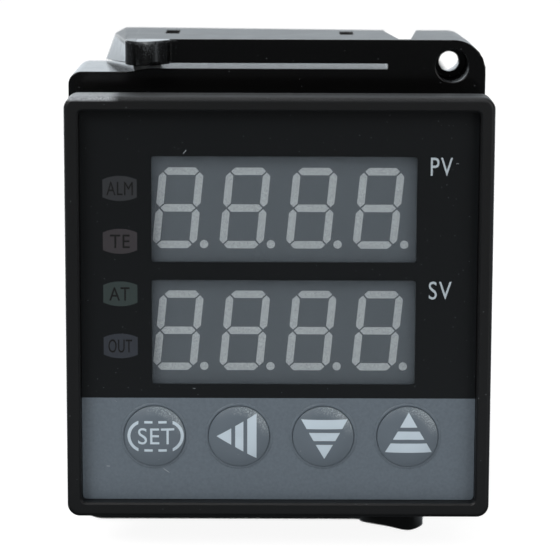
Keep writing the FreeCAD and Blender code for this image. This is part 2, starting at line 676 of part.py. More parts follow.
def make_side_board(side):
    """Circuit board that runs back along one side of the case."""
    inner = side * SIDE_BOARD_X
    outer = side * (SIDE_BOARD_X + BOARD_THICKNESS)
    return block(min(inner, outer), max(inner, outer), DISPLAY_BOARD_REAR_Y, SIDE_BOARD_REAR_Y,
                 -SIDE_BOARD_HALF_HEIGHT, SIDE_BOARD_HALF_HEIGHT)


def on_board(side, height, y0, y1, z0, z1, base=0.0):
    """Box that stands on the inner face of a side board."""
    foot = side * (SIDE_BOARD_X - base)
    top = side * (SIDE_BOARD_X - base - height)
    return block(min(foot, top), max(foot, top), y0, y1, z0, z1)


def can_on_board(side, diameter, height, y, z):
    """Round can that stands on the inner face of a side board."""
    return Part.makeCylinder(diameter / 2, height, Vector(side * SIDE_BOARD_X, y, z), Vector(-side, 0, 0))


def make_board_headers():
    """Two strips of right-angle pins that join the display board to the side boards."""
    half = PIN_COUNT * PIN_PITCH / 2
    y0 = DISPLAY_BOARD_REAR_Y
    strip = block(SIDE_BOARD_X - HEADER_SIZE, SIDE_BOARD_X, y0, y0 + HEADER_SIZE, -half, half)
    pins = []
    for i in range(PIN_COUNT):
        z = (i - (PIN_COUNT - 1) / 2) * PIN_PITCH
        x = SIDE_BOARD_X - HEADER_SIZE / 2
        end = y0 + HEADER_SIZE + PIN_LENGTH
        half_pin = PIN_SIZE / 2
        pins.append(block(x - half_pin, x + half_pin, y0 + HEADER_SIZE, end, z - half_pin, z + half_pin))
        pins.append(block(x + half_pin, SIDE_BOARD_X, end - PIN_LENGTH + PIN_BEND, end,
                          z - half_pin, z + half_pin))
    return group(both_sides(fuse_all([strip] + pins)))


def winding_window(z0, z1):
    """One of the two winding windows through the core's lamination stack."""
    limb = TRANSFORMER_RISE / 5
    rear = TRANSFORMER_Y + TRANSFORMER_LENGTH
    return on_board(1, TRANSFORMER_RISE - 2 * limb, TRANSFORMER_Y, rear, z0, z1, limb)


def make_transformer_core():
    """Laminated iron core with two windows either side of the middle limb."""
    half = TRANSFORMER_STACK / 2
    core = on_board(1, TRANSFORMER_RISE, TRANSFORMER_MIDDLE_Y - half, TRANSFORMER_MIDDLE_Y + half,
                    -TRANSFORMER_HALF_HEIGHT, TRANSFORMER_HALF_HEIGHT)
    limb = (TRANSFORMER_HALF_HEIGHT - CORE_WINDOW_SPAN) / 2
    windows = [winding_window(limb, limb + CORE_WINDOW_SPAN),
               winding_window(-limb - CORE_WINDOW_SPAN, -limb)]
    return core.cut(Part.makeCompound(windows))


def make_transformer_winding():
    """Wound coil on its bobbin, around the core's middle limb."""
    limb = (TRANSFORMER_HALF_HEIGHT - CORE_WINDOW_SPAN) / 2
    base = TRANSFORMER_RISE / 5 + WINDING_GAP
    rise = TRANSFORMER_RISE - 2 * base
    rear = TRANSFORMER_Y + TRANSFORMER_LENGTH
    coil = on_board(1, rise, TRANSFORMER_Y, rear, -WINDING_REACH, WINDING_REACH, base)
    coil = coil.makeFillet(WINDING_CORNER, edges_at(coil, lambda c, e: near(e.Length, rise)))
    half = TRANSFORMER_STACK / 2 + WINDING_BORE_GAP
    limb += WINDING_BORE_GAP
    return coil.cut(on_board(1, TRANSFORMER_RISE, TRANSFORMER_MIDDLE_Y - half,
                             TRANSFORMER_MIDDLE_Y + half, -limb, limb))


def make_relay(z):
    """Sealed relay on the power board, with its lower side at z."""
    body = on_board(1, RELAY_HEIGHT, RELAY_Y, RELAY_Y + RELAY_LENGTH, z, z + RELAY_WIDTH)
    top = SIDE_BOARD_X - RELAY_HEIGHT
    return body.makeFillet(RELAY_EDGE, edges_at(body, lambda c, e: near(c.x, top)))


def make_filter_capacitors():
    """Two larger electrolytic cans on the power board, behind the relays."""
    return group([can_on_board(1, FILTER_CAN_DIAMETER, FILTER_CAN_HEIGHT, FILTER_CAN_Y,
                               side * FILTER_CAN_Z) for side in SIDES])


def leg(y, z):
    """Flat leg that stands on the power board."""
    half = LEG_WIDTH / 2
    return on_board(1, LEG_LENGTH, y - half, y + half, z - half, z + half)


def make_varistor():
    """Disc varistor, standing on edge between the filter capacitors."""
    radius = VARISTOR_DIAMETER / 2
    centre = Vector(SIDE_BOARD_X - radius - LEG_WIDTH, FILTER_CAN_Y - VARISTOR_THICKNESS / 2, 0)
    disc = Part.makeCylinder(radius, VARISTOR_THICKNESS, centre, Vector(0, 1, 0))
    return fuse_all([disc] + [leg(FILTER_CAN_Y, side * PIN_PITCH) for side in SIDES])


def make_voltage_regulator():
    """Power regulator with a metal tab, upright on the power board beside the winding."""
    y0 = TRANSFORMER_Y
    y1 = y0 + REGULATOR_THICKNESS
    z0 = REGULATOR_Z
    z1 = REGULATOR_Z + REGULATOR_WIDTH
    body = on_board(1, REGULATOR_BODY, y0, y1, z0, z1, LEG_LENGTH)
    tab = on_board(1, REGULATOR_TAB, y1 - REGULATOR_TAB_THICKNESS, y1, z0, z1, LEG_LENGTH)
    middle = (z0 + z1) / 2
    legs = [leg((y0 + y1) / 2, middle + i * PIN_PITCH) for i in (-1, 0, 1)]
    return fuse_all([body, tab] + legs)


def make_chip(length, width, y, z):
    """Dual-row chip on the main board: moulded body with legs down to the board."""
    half = width / 2
    body = on_board(-1, CHIP_THICKNESS, y, y + length, z - half, z + half, CHIP_STAND)
    legs = []
    rise = CHIP_STAND + CHIP_THICKNESS / 2
    count = int(length / PIN_PITCH)
    for i in range(count):
        middle = y + length / 2 + (i - (count - 1) / 2) * PIN_PITCH
        y0 = middle - CHIP_LEG_WIDTH / 2
        y1 = middle + CHIP_LEG_WIDTH / 2
        legs.append(on_board(-1, rise, y0, y1, z - half - CHIP_LEG_REACH, z - half))
        legs.append(on_board(-1, rise, y0, y1, z + half, z + half + CHIP_LEG_REACH))
    return fuse_all([body] + legs)


def make_small_capacitors():
    """Small electrolytic cans on the main board."""
    places = [(y, -SMALL_CAN_Z) for y in SMALL_CAN_FRONT_YS]
    places += [(SMALL_CAN_REAR_Y, side * SMALL_CAN_Z) for side in SIDES]
    return group([can_on_board(-1, SMALL_CAN_DIAMETER, SMALL_CAN_HEIGHT, y, z) for y, z in places])


def make_resistors():
    """Row of axial resistors lying on the main board."""
    parts = []
    radius = RESISTOR_DIAMETER / 2
    lift = radius + BOARD_EDGE_GAP
    lead = RESISTOR_LEAD / 2
    span = RESISTOR_LEAD_SPAN / 2
    for i in range(RESISTOR_COUNT):
        y = RESISTOR_Y + RESISTOR_PITCH * i
        start = Vector(lift - SIDE_BOARD_X, y, RESISTOR_Z - RESISTOR_LENGTH / 2)
        body = Part.makeCylinder(radius, RESISTOR_LENGTH, start, Vector(0, 0, 1))
        wire = on_board(-1, RESISTOR_LEAD, y - lead, y + lead, RESISTOR_Z - span, RESISTOR_Z + span,
                        lift - lead)
        feet = [on_board(-1, lift, y - lead, y + lead, z - lead, z + lead)
                for z in (RESISTOR_Z - span + lead, RESISTOR_Z + span - lead)]
        parts.append(fuse_all([body, wire] + feet))
    return group(parts)


def make_output_socket(side):
    """Receptacle strip on a side board that takes the terminal tails."""
    inner = side * (TAIL_X - SOCKET_HALF_WIDTH)
    outer = side * SIDE_BOARD_X
    strip = block(min(inner, outer), max(inner, outer), SOCKET_Y, SIDE_BOARD_REAR_Y,
                  -SIDE_BOARD_HALF_HEIGHT, SIDE_BOARD_HALF_HEIGHT)
    slots = []
    for z in TERMINAL_CENTRES:
        slots.append(tail_box(side, z, CONTACT_FIT, SIDE_BOARD_REAR_Y))
    return strip.cut(Part.makeCompound(slots))


# ---------------------------------------------------------------- case
def ratchet_cutter(side, x):
    """Saw-tooth grooves across one strip of the case's top or bottom face."""
    surface = side * CASE_HALF
    teeth = []
    length = VENT_REAR_Y - VENT_LENGTH - RATCHET_END_GAP - RATCHET_START
    left = x - RATCHET_WIDTH / 2
    for i in range(int(length / RATCHET_PITCH)):
        y = RATCHET_START + i * RATCHET_PITCH
        end = y + RATCHET_PITCH * TOOTH_FRACTION
        ring = [Vector(left, y, surface), Vector(left, end, surface),
                Vector(left, end, surface - side * RATCHET_DEPTH)]
        teeth.append(face_from(ring).extrude(Vector(RATCHET_WIDTH, 0, 0)))
    return teeth


def vent_cutters():
    """Slots through the top and bottom, behind the ratchet."""
    cuts = []
    for i in range(VENT_COUNT):
        x = (i - (VENT_COUNT - 1) / 2) * VENT_PITCH
        cuts.append(block(x - VENT_WIDTH / 2, x + VENT_WIDTH / 2, VENT_REAR_Y - VENT_LENGTH,
                          VENT_REAR_Y, -CASE_HALF, CASE_HALF))
    return cuts


def make_rails():
    """Pairs of ribs inside the top and bottom that guide the side boards."""
    rails = []
    wall = CASE_INNER / 2
    y0 = DISPLAY_BOARD_REAR_Y + HEADER_SIZE + RAIL_END_GAP
    y1 = SOCKET_Y - RAIL_END_GAP
    faces = (SIDE_BOARD_X - RAIL_GAP - RAIL_WALL, SIDE_BOARD_X + BOARD_THICKNESS + RAIL_GAP)
    for x in faces:
        for z0, z1 in ((RAIL_EDGE_Z, wall), (-wall, -RAIL_EDGE_Z)):
            rails += both_sides(block(x, x + RAIL_WALL, y0, y1, z0, z1))
    return rails


def snap_boxes(reach, gap):
    """Side lugs that lock the terminal block in the case, or the windows for them."""
    y0 = BLOCK_Y + (BLOCK_PLUG_DEPTH - SNAP_LENGTH) / 2
    lug = block(CASE_INNER / 2 - SNAP_ROOT, reach, y0 - gap, y0 + SNAP_LENGTH + gap,
                -SNAP_WIDTH / 2 - gap, SNAP_WIDTH / 2 + gap)
    return both_sides(lug)


def make_case():
    """Square tube with a front flange, board rails, ratchet strips, vents and latch windows."""
    tube = round_rect(CASE_SIZE, CASE_SIZE, CASE_CORNER, PANEL_Y, CASE_REAR_Y)
    flange = round_rect(BEZEL_SIZE, BEZEL_SIZE, BEZEL_CORNER, BEZEL_REAR_Y, PANEL_Y)
    flange = flange.makeChamfer(PARTING_CHAMFER,
                                edges_at(flange, lambda c, e: near(c.y, BEZEL_REAR_Y)))
    bore = round_rect(CASE_INNER, CASE_INNER, BORE_CORNER, BEZEL_REAR_Y, CASE_REAR_Y)
    shell = fuse_all([tube, flange]).cut(bore)
    shell = fuse_all([shell] + make_rails())
    cuts = ratchet_cutter(1, BRACKET_SHIFT_X + PAWL_X) + ratchet_cutter(-1, BRACKET_SHIFT_X - PAWL_X)
    cuts += vent_cutters() + latch_boxes(CASE_WALL + CASE_FIT, LATCH_GAP)
    cuts += snap_boxes(CASE_HALF, SNAP_GAP)
    return shell.cut(Part.makeCompound(cuts))


# ---------------------------------------------------------------- terminals
def tail_box(side, z, gap, y1):
    """Tail of one contact, or the slot for it, ending at y1."""
    x0 = side * (TAIL_X - TAIL_THICKNESS / 2 - gap)
    x1 = side * (TAIL_X + TAIL_THICKNESS / 2 + gap)
    y0 = FLOOR_Y - CONTACT_SUNK - TAIL_LENGTH - gap
    half = TAIL_WIDTH / 2 + gap
    return block(min(x0, x1), max(x0, x1), y0, y1, z - half, z + half)


def contact_plate(side, z, gap):
    """Flat of one contact, or the pocket for it."""
    x0 = side * (CONTACT_INNER_X - gap)
    x1 = side * (TAIL_X + TAIL_THICKNESS / 2 + gap)
    half = CONTACT_WIDTH / 2 + gap
    return block(min(x0, x1), max(x0, x1), FLOOR_Y - CONTACT_SUNK,
                 FLOOR_Y - CONTACT_SUNK + CONTACT_THICKNESS, z - half, z + half)


def make_contact(side, z):
    """Brass contact: screw plate and a tail that runs forward to the board socket."""
    top = FLOOR_Y - CONTACT_SUNK + CONTACT_THICKNESS
    shape = fuse_all([contact_plate(side, z, 0.0), tail_box(side, z, 0.0, top)])
    hole = rod(SCREW_DIAMETER + 2 * SCREW_GAP, side * TERMINAL_X, z, FLOOR_Y - CONTACT_SUNK, top)
    return shape.cut(hole)


def make_washer(side, z):
    """Square clamp washer with two turned-up lips."""
    y0 = FLOOR_Y - CONTACT_SUNK + CONTACT_THICKNESS
    half = WASHER_SIZE / 2
    x = side * TERMINAL_X
    plate = block(x - half, x + half, y0, y0 + WASHER_THICKNESS, z - half, z + half)
    plate = plate.cut(rod(SCREW_DIAMETER + 2 * WASHER_GAP, x, z, y0, y0 + WASHER_THICKNESS))
    lips = []
    for s in SIDES:
        edge = x + s * half
        inside = x + s * (half - WASHER_LIP)
        lips.append(block(min(edge, inside), max(edge, inside), y0 + WASHER_THICKNESS,
                          y0 + WASHER_THICKNESS + WASHER_LIP, z - half, z + half))
    head = rod(SCREW_HEAD_DIAMETER + 2 * WASHER_GAP, x, z, y0 + WASHER_THICKNESS,
               y0 + 2 * WASHER_THICKNESS)
    return fuse_all([plate] + [lip.cut(head) for lip in lips])


def make_screw(side, z):
    """Pan-head terminal screw with a cross-and-slot recess."""
    x = side * TERMINAL_X
    under = FLOOR_Y - CONTACT_SUNK + CONTACT_THICKNESS + WASHER_THICKNESS
    top = under + SCREW_HEAD_HEIGHT
    shank = rod(SCREW_DIAMETER, x, z, under - SCREW_LENGTH, under)
    head = rod(SCREW_HEAD_DIAMETER, x, z, under, top)
    head = head.makeChamfer(SCREW_HEAD_EDGE, edges_at(head, lambda c, e: near(c.y, top)))
    half = SCREW_HEAD_DIAMETER / 2
    thin = SCREW_SLOT_WIDTH / 2
    wing = SCREW_CROSS_LENGTH / 2
    slot = block(x - half, x + half, top - SCREW_SLOT_DEPTH, top, z - thin, z + thin)
    cross = block(x - thin, x + thin, top - SCREW_SLOT_DEPTH, top, z - wing, z + wing)
    return fuse_all([shank, head]).cut(fuse_all([slot, cross]))


def make_terminal_block():
    """Moulded rear block: plug, two stepped terminal rows with barriers, and a centre ridge."""
    half = BLOCK_HALF
    base = round_rect(2 * PLUG_HALF, 2 * PLUG_HALF, BORE_CORNER, BLOCK_Y, CASE_REAR_Y)
    body = round_rect(2 * half, 2 * half, BORE_CORNER, BLOCK_Y, FLOOR_Y)
    ridge = block(-RIDGE_HALF_WIDTH, RIDGE_HALF_WIDTH, FLOOR_Y, FLOOR_Y + RIDGE_HEIGHT, -half, half)
    ridge = ridge.makeChamfer(RIDGE_CHAMFER, edges_at(
        ridge, lambda c, e: near(c.y, FLOOR_Y + RIDGE_HEIGHT) and near(abs(c.x), RIDGE_HALF_WIDTH)))
    walls = []
    for i in range(TERMINAL_COUNT + 1):
        z = (i - TERMINAL_COUNT / 2) * TERMINAL_PITCH
        wall = block(RIDGE_HALF_WIDTH, half, FLOOR_Y, FLOOR_Y + BARRIER_HEIGHT,
                     z - BARRIER_THICKNESS / 2, z + BARRIER_THICKNESS / 2)
        wall = wall.makeChamfer(BARRIER_CHAMFER, edges_at(
            wall, lambda c, e: near(c.y, FLOOR_Y + BARRIER_HEIGHT) and near(c.x, half)))
        walls += both_sides(wall)
    lugs = snap_boxes(CASE_INNER / 2 + SNAP_PROUD, 0.0)
    shape = fuse_all([base, body, ridge] + walls + lugs)
    cuts = []
    well_floor = FLOOR_Y - SCREW_LENGTH
    for side in SIDES:
        for z in TERMINAL_CENTRES:
            cuts.append(contact_plate(side, z, CONTACT_FIT))
            cuts.append(tail_box(side, z, CONTACT_FIT, FLOOR_Y))
            cuts.append(rod(SCREW_DIAMETER + 2 * SCREW_WELL_GAP, side * TERMINAL_X, z,
                            well_floor, FLOOR_Y))
    return shape.cut(Part.makeCompound(cuts))


# ---------------------------------------------------------------- mounting bracket
def arm_beam():
    """Straight spring arm whose rear top edge rises a little towards the free end."""
    sections = []
    for x, rise in ((ARM_TIP_X, ARM_REAR_RISE), (ARM_ROOT_X + ROOT_OVERLAP, 0.0)):
        sections.append([Vector(x, 0, ARM_BOTTOM), Vector(x, 0, ARM_TOP),
                         Vector(x, BRACKET_DEPTH, ARM_TOP + rise), Vector(x, BRACKET_DEPTH, ARM_BOTTOM)])
    return ruled_solid(*sections)


def ruled_solid(first, last):
    """Solid ruled between two rings of points."""
    wires = [Part.makePolygon(ring + ring[:1]) for ring in (first, last)]
    return Part.makeLoft(wires, True, True)


def arm_heel():
    """Flared free end of the arm: square at the front, leaning out and down onto the ring behind."""
    tip = ARM_TIP_X
    root = ARM_TIP_X + HEEL_ROOT
    rear_top = ARM_TOP + ARM_REAR_RISE
    foot = HEEL_FOOT_GAP - RING_RELIEF
    front = [Vector(tip, 0, ARM_BOTTOM), Vector(tip, 0, ARM_TOP - HEEL_CORNER),
             Vector(tip + HEEL_CORNER, 0, ARM_TOP), Vector(root, 0, ARM_TOP),
             Vector(root, 0, ARM_BOTTOM)]
    rear = [Vector(tip - HEEL_FOOT_REACH, BRACKET_DEPTH, foot),
            Vector(tip - HEEL_BEND_REACH, BRACKET_DEPTH, rear_top - HEEL_BEND_DROP),
            Vector(tip - HEEL_TOP_REACH, BRACKET_DEPTH, rear_top),
            Vector(root, BRACKET_DEPTH, rear_top), Vector(root, BRACKET_DEPTH, ARM_BOTTOM)]
    return ruled_solid(front, rear)


def arm_nose(reach, flank):
    """Rounded finger nose that reaches forward from the arm's free end."""
    left = ARM_TIP_X
    foot = left + NOSE_WIDTH + flank
    profile = [Vector(left + NOSE_WIDTH * across, -reach * along, ARM_BOTTOM) for across, along in NOSE_TIP]
    profile += [Vector(left + NOSE_WIDTH + flank * across, -reach * along, ARM_BOTTOM)
                for across, along in NOSE_FLANK]
    curve = Part.BSplineCurve()
    curve.interpolate(Points=profile, InitialTangent=Vector(0, -1, 0), FinalTangent=Vector(1, 0, 0))
    start = Vector(left, NOSE_ROOT, ARM_BOTTOM)
    back = Vector(foot, NOSE_ROOT, ARM_BOTTOM)
    edges = [Part.makeLine(start, profile[0]), curve.toShape(),
             Part.makeLine(profile[-1], back), Part.makeLine(back, start)]
    return face_inside(edges).extrude(Vector(0, 0, ARM_THICKNESS))


def hinge_notch():
    """V-shaped relief in the arm's root, open at the rear."""
    front = HINGE_NOTCH_FACE / 2
    rear = HINGE_NOTCH_MOUTH / 2
    z = ARM_TOP - HINGE_NOTCH_DEPTH
    ring = [Vector(HINGE_NOTCH_X - front, HINGE_NOTCH_FRONT, z),
            Vector(HINGE_NOTCH_X + front, HINGE_NOTCH_FRONT, z),
            Vector(HINGE_NOTCH_X + rear, BRACKET_DEPTH, z),
            Vector(HINGE_NOTCH_X - rear, BRACKET_DEPTH, z)]
    return face_from(ring).extrude(Vector(0, 0, HINGE_NOTCH_DEPTH))


def block_taper():
    """Wedge that narrows the corner block's outer shoulder towards the rear."""
    out = Vector(math.cos(BLOCK_TAPER_ANGLE), 0, math.sin(BLOCK_TAPER_ANGLE))
    along = Vector(-out.z, 0, out.x)
    centre = Vector(BRACKET_HALF_WIDTH - BLOCK_CORNER, 0, ARM_TOP - BLOCK_CORNER)
    crown = centre + out * BLOCK_CORNER
    sections = []
    for y, depth in ((0.0, 0.0), (BRACKET_DEPTH, BLOCK_TAPER)):
        middle = crown - out * depth + Vector(0, y, 0)
        low = middle - along * BLOCK_CORNER
        high = middle + along * BLOCK_CORNER
        sections.append([low, high, high + out * BLOCK_CORNER, low + out * BLOCK_CORNER])
    return ruled_solid(*sections)


def corner_block(bar):
    """Solid corner that carries the jack-screw hole, rounded at its outer corner."""
    outer = BRACKET_HALF_WIDTH
    r = BLOCK_CORNER
    bend = r * (1 - math.cos(math.radians(45)))
    low = -bar - CHEEK_DEPTH
    start = Vector(outer - r, 0, ARM_TOP)
    end = Vector(outer, 0, ARM_TOP - r)
    points = [end, Vector(outer, 0, low), Vector(RING_INNER_X, 0, low),
              Vector(RING_INNER_X, 0, -bar), Vector(ARM_ROOT_X, 0, -bar),
              Vector(ARM_ROOT_X, 0, ARM_TOP), start]
    edges = [Part.Arc(start, Vector(outer - bend, 0, ARM_TOP - bend), end).toShape()]
    edges += [Part.makeLine(a, b) for a, b in zip(points, points[1:])]
    return face_inside(edges).extrude(Vector(0, BRACKET_DEPTH, 0)).cut(block_taper())


def ring_relief():
    """Shallow step in the ring's bar under the heel, with an S-shaped run-in."""
    low = -RING_RELIEF
    run_in = ARM_TIP_X + RELIEF_RUN
    mid_x = ARM_TIP_X + RELIEF_RUN / 2
    quarter = RELIEF_RUN / 4
    start = Vector(run_in, 0, 0)
    middle = Vector(mid_x, 0, low / 2)
    end = Vector(ARM_TIP_X, 0, low)
    outer = Vector(-BRACKET_HALF_WIDTH, 0, low)
    corner = Vector(-BRACKET_HALF_WIDTH, 0, 0)
    bulge = RING_RELIEF * RELIEF_BULGE
    edges = [Part.Arc(start, Vector(mid_x + quarter, 0, -bulge), middle).toShape(),
             Part.Arc(middle, Vector(mid_x - quarter, 0, low + bulge), end).toShape(),
             Part.makeLine(end, outer), Part.makeLine(outer, corner), Part.makeLine(corner, start)]
    return face_inside(edges).extrude(Vector(0, BRACKET_DEPTH, 0))


def pawl(bar):
    """Toothed pawl behind the nose, from the arm down to the case's ratchet."""
    left = PAWL_X - PAWL_WIDTH / 2
    tip_z = PAWL_GAP - BRACKET_END_GAP - bar
    body = block(left, left + PAWL_WIDTH, PAWL_START, PAWL_START + PAWL_LENGTH,
                 tip_z, ARM_BOTTOM + ROOT_OVERLAP)
    notches = []
    for i in range(PAWL_NOTCHES):
        y = PAWL_START + PAWL_LEAD + i * RATCHET_PITCH
        ring = [Vector(left, y, tip_z), Vector(left, y + RATCHET_PITCH * TOOTH_FRACTION, tip_z),
                Vector(left, y, tip_z + RATCHET_DEPTH)]
        notches.append(face_from(ring).extrude(Vector(PAWL_WIDTH, 0, 0)))
    return body.cut(Part.makeCompound(notches))


def pawl_window(bar):
    """Window in the ring's bar that the pawl passes through."""
    half = PAWL_WIDTH / 2 + PAWL_WINDOW_GAP
    return block(PAWL_X - half, PAWL_X + half, PAWL_START - PAWL_WINDOW_GAP,
                 PAWL_START + PAWL_LENGTH + PAWL_WINDOW_GAP, -bar, ARM_BOTTOM)


def jack_hole():
    """Hole for the jack screw: wide bores at both ends of a thin thread-forming web."""
    web_rear = JACK_BORE_DEPTH + JACK_WEB
    return fuse_all([rod(JACK_BORE_DIAMETER, JACK_X, JACK_RISE, 0, JACK_BORE_DEPTH),
                     rod(JACK_THREAD_DIAMETER, JACK_X, JACK_RISE, 0, web_rear),
                     rod(JACK_REAR_BORE_DIAMETER, JACK_X, JACK_RISE, web_rear, BRACKET_DEPTH)])


def arm_set(reach, flank, bar):
    """Arm, heel, nose, corner block and pawl of one side, about the outer face of the ring's bar."""
    shape = fuse_all([arm_beam(), arm_heel(), arm_nose(reach, flank), corner_block(bar), pawl(bar)])
    pits = [block(x - PIT_WIDTH / 2, x + PIT_WIDTH / 2, PIT_START, PIT_START + PIT_LENGTH,
                  ARM_TOP - PIT_DEPTH, ARM_TOP + ARM_REAR_RISE) for x in PIT_POSITIONS]
    return shape.cut(Part.makeCompound(pits + [hinge_notch(), jack_hole()]))


def on_side(shape, side, bar):
    """Shape of one arm set moved out to the ring's upper or lower side."""
    placed = shape.copy()
    placed.translate(Vector(0, 0, RING_INNER_Z + bar))
    if side < 0:
        placed.rotate(Vector(0, 0, 0), Vector(0, 1, 0), 180)
    return placed


def make_mounting_bracket():
    """One-piece push-on bracket: ring, two spring arms with noses, pawls and jack-screw corners."""
    top = RING_INNER_Z + UPPER_BAR
    bottom = -RING_INNER_Z - LOWER_BAR
    half = BRACKET_HALF_WIDTH
    ring = block(-half, half, 0, BRACKET_DEPTH, bottom, top)
    cuts = [on_side(ring_relief(), 1, UPPER_BAR), on_side(ring_relief(), -1, LOWER_BAR)]
    ring = ring.cut(Part.makeCompound(cuts))
    ring = ring.makeFillet(RING_CORNER, edges_at(
        ring, lambda c, e: near(abs(c.x), half) and near(e.Length, BRACKET_DEPTH)))
    cuts = [block(-RING_INNER_X, RING_INNER_X, 0, BRACKET_DEPTH, -RING_INNER_Z, RING_INNER_Z)]
    arms = []
    for side, reach, flank, bar in ((1, UPPER_NOSE_REACH, UPPER_NOSE_FLANK, UPPER_BAR),
                                    (-1, LOWER_NOSE_REACH, LOWER_NOSE_FLANK, LOWER_BAR)):
        cuts += [on_side(jack_hole(), side, bar), on_side(pawl_window(bar), side, bar)]
        arms.append(on_side(arm_set(reach, flank, bar), side, bar))
    bracket = fuse_all([ring.cut(Part.makeCompound(cuts))] + arms)
    bracket.translate(Vector(BRACKET_SHIFT_X, BRACKET_FRONT_Y, 0))
    return bracket


# ---------------------------------------------------------------- all nodes
def all_nodes():
    """Every physical piece by name."""
    nodes = {
        "bezel": make_bezel(),
        "front_overlay": make_front_overlay(),
        "display_lens": make_display_lens(),
        "indicator_lenses": make_indicator_lenses(),
        "indicator_leds": make_indicator_leds(),
        "key_switches": make_key_switches(),
        "display_board": make_display_board(),
        "main_board": make_side_board(-1),
        "power_board": make_side_board(1),
        "board_headers": make_board_headers(),
        "transformer_core": make_transformer_core(),
        "transformer_winding": make_transformer_winding(),
        "output_relay": make_relay(-RELAY_GAP / 2 - RELAY_WIDTH),
        "alarm_relay": make_relay(RELAY_GAP / 2),
        "filter_capacitors": make_filter_capacitors(),
        "small_capacitors": make_small_capacitors(),
        "varistor": make_varistor(),
        "voltage_regulator": make_voltage_regulator(),
        "resistors": make_resistors(),
        "controller_chip": make_chip(CONTROLLER_CHIP_LENGTH, CONTROLLER_CHIP_WIDTH,
                                     CONTROLLER_CHIP_Y, CONTROLLER_CHIP_Z),
        "amplifier_chip": make_chip(SMALL_CHIP_LENGTH, SMALL_CHIP_WIDTH,
                                    AMPLIFIER_CHIP_Y, AMPLIFIER_CHIP_Z),
        "driver_chip": make_chip(SMALL_CHIP_LENGTH, SMALL_CHIP_WIDTH, DRIVER_CHIP_Y, 0.0),
        "left_socket": make_output_socket(-1),
        "right_socket": make_output_socket(1),
        "case": make_case(),
        "terminal_block": make_terminal_block(),
        "terminal_contacts": group([make_contact(s, z) for s in SIDES for z in TERMINAL_CENTRES]),
        "clamp_washers": group([make_washer(s, z) for s in SIDES for z in TERMINAL_CENTRES]),
        "terminal_screws": group([make_screw(s, z) for s in SIDES for z in TERMINAL_CENTRES]),
        "mounting_bracket": make_mounting_bracket(),
    }
    for name, z in zip(("pv", "sv"), WINDOW_CENTRES):
        nodes["display_" + name] = make_display(z)
        nodes["segments_" + name] = group(display_segments(z))
    for name, x in zip(KEY_NAMES, KEY_CENTRES):
        nodes["key_" + name] = make_key(x)
        nodes["plunger_" + name] = make_plunger(x)
    return nodes


os.makedirs("parts", exist_ok=True)
for node, shape in all_nodes().items():
    shape.exportStep("parts/" + node + ".step")
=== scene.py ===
import json
import math

import bmesh
import bpy
from mathutils import Matrix, Vector

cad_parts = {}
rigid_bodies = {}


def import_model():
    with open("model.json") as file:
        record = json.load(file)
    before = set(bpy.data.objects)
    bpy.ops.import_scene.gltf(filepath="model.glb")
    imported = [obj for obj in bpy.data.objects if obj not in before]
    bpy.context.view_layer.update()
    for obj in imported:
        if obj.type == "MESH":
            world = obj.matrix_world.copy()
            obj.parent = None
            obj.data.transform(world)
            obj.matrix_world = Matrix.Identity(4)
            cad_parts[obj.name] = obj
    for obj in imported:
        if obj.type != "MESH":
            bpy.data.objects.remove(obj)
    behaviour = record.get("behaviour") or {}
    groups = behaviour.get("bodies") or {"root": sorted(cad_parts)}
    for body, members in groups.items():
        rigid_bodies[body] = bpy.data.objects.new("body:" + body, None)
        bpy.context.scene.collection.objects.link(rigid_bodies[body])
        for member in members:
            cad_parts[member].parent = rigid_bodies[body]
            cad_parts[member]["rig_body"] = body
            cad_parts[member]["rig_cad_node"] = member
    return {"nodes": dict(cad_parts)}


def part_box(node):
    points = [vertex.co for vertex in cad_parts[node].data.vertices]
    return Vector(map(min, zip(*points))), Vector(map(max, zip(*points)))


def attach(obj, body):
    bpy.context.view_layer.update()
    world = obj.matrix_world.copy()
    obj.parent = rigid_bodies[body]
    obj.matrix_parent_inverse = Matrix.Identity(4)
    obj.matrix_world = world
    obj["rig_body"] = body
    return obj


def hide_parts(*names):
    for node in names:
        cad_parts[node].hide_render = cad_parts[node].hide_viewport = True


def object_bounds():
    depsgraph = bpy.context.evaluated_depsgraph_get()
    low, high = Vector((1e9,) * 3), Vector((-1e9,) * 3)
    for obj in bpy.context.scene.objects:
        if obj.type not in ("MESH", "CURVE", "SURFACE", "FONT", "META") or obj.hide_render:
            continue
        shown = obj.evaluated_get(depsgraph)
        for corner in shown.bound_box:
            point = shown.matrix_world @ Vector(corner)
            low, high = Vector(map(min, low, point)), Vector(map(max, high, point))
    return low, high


bl_info = {
    "name": "Panel temperature controller",
    "version": (1, 0, 0),
    "blender": (4, 5, 0),
    "location": "View3D > Sidebar > Controller",
    "description": "Dresses a 48 mm panel temperature controller and its push-on bracket",
    "category": "Object",
}

MM = 0.001

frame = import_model()
CAD_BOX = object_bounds()

# Places and sizes taken from the CAD nodes, in metres
FLOOR_Z = CAD_BOX[0][2]
FILM_FRONT_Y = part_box("front_overlay")[0][1]
RIDGE_REAR_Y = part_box("terminal_block")[1][1]
PILL_LOW, PILL_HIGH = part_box("indicator_lenses")
BRACKET_LOW, BRACKET_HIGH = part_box("mounting_bracket")
KEY_LOW, KEY_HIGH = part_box("key_set")
KEY_FLANGE = 0.7 * MM
KEY_RADIUS = (KEY_HIGH[0] - KEY_LOW[0]) / 2 - KEY_FLANGE

# The bezel's top ledge is painted pale in grains, most over its left corner
LEDGE_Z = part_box("bezel")[1][2] - 0.45 * MM
LEDGE_REAR_Y = 0.2 * MM
CORNER_PALE_X = (-17.8 * MM, -19.0 * MM)

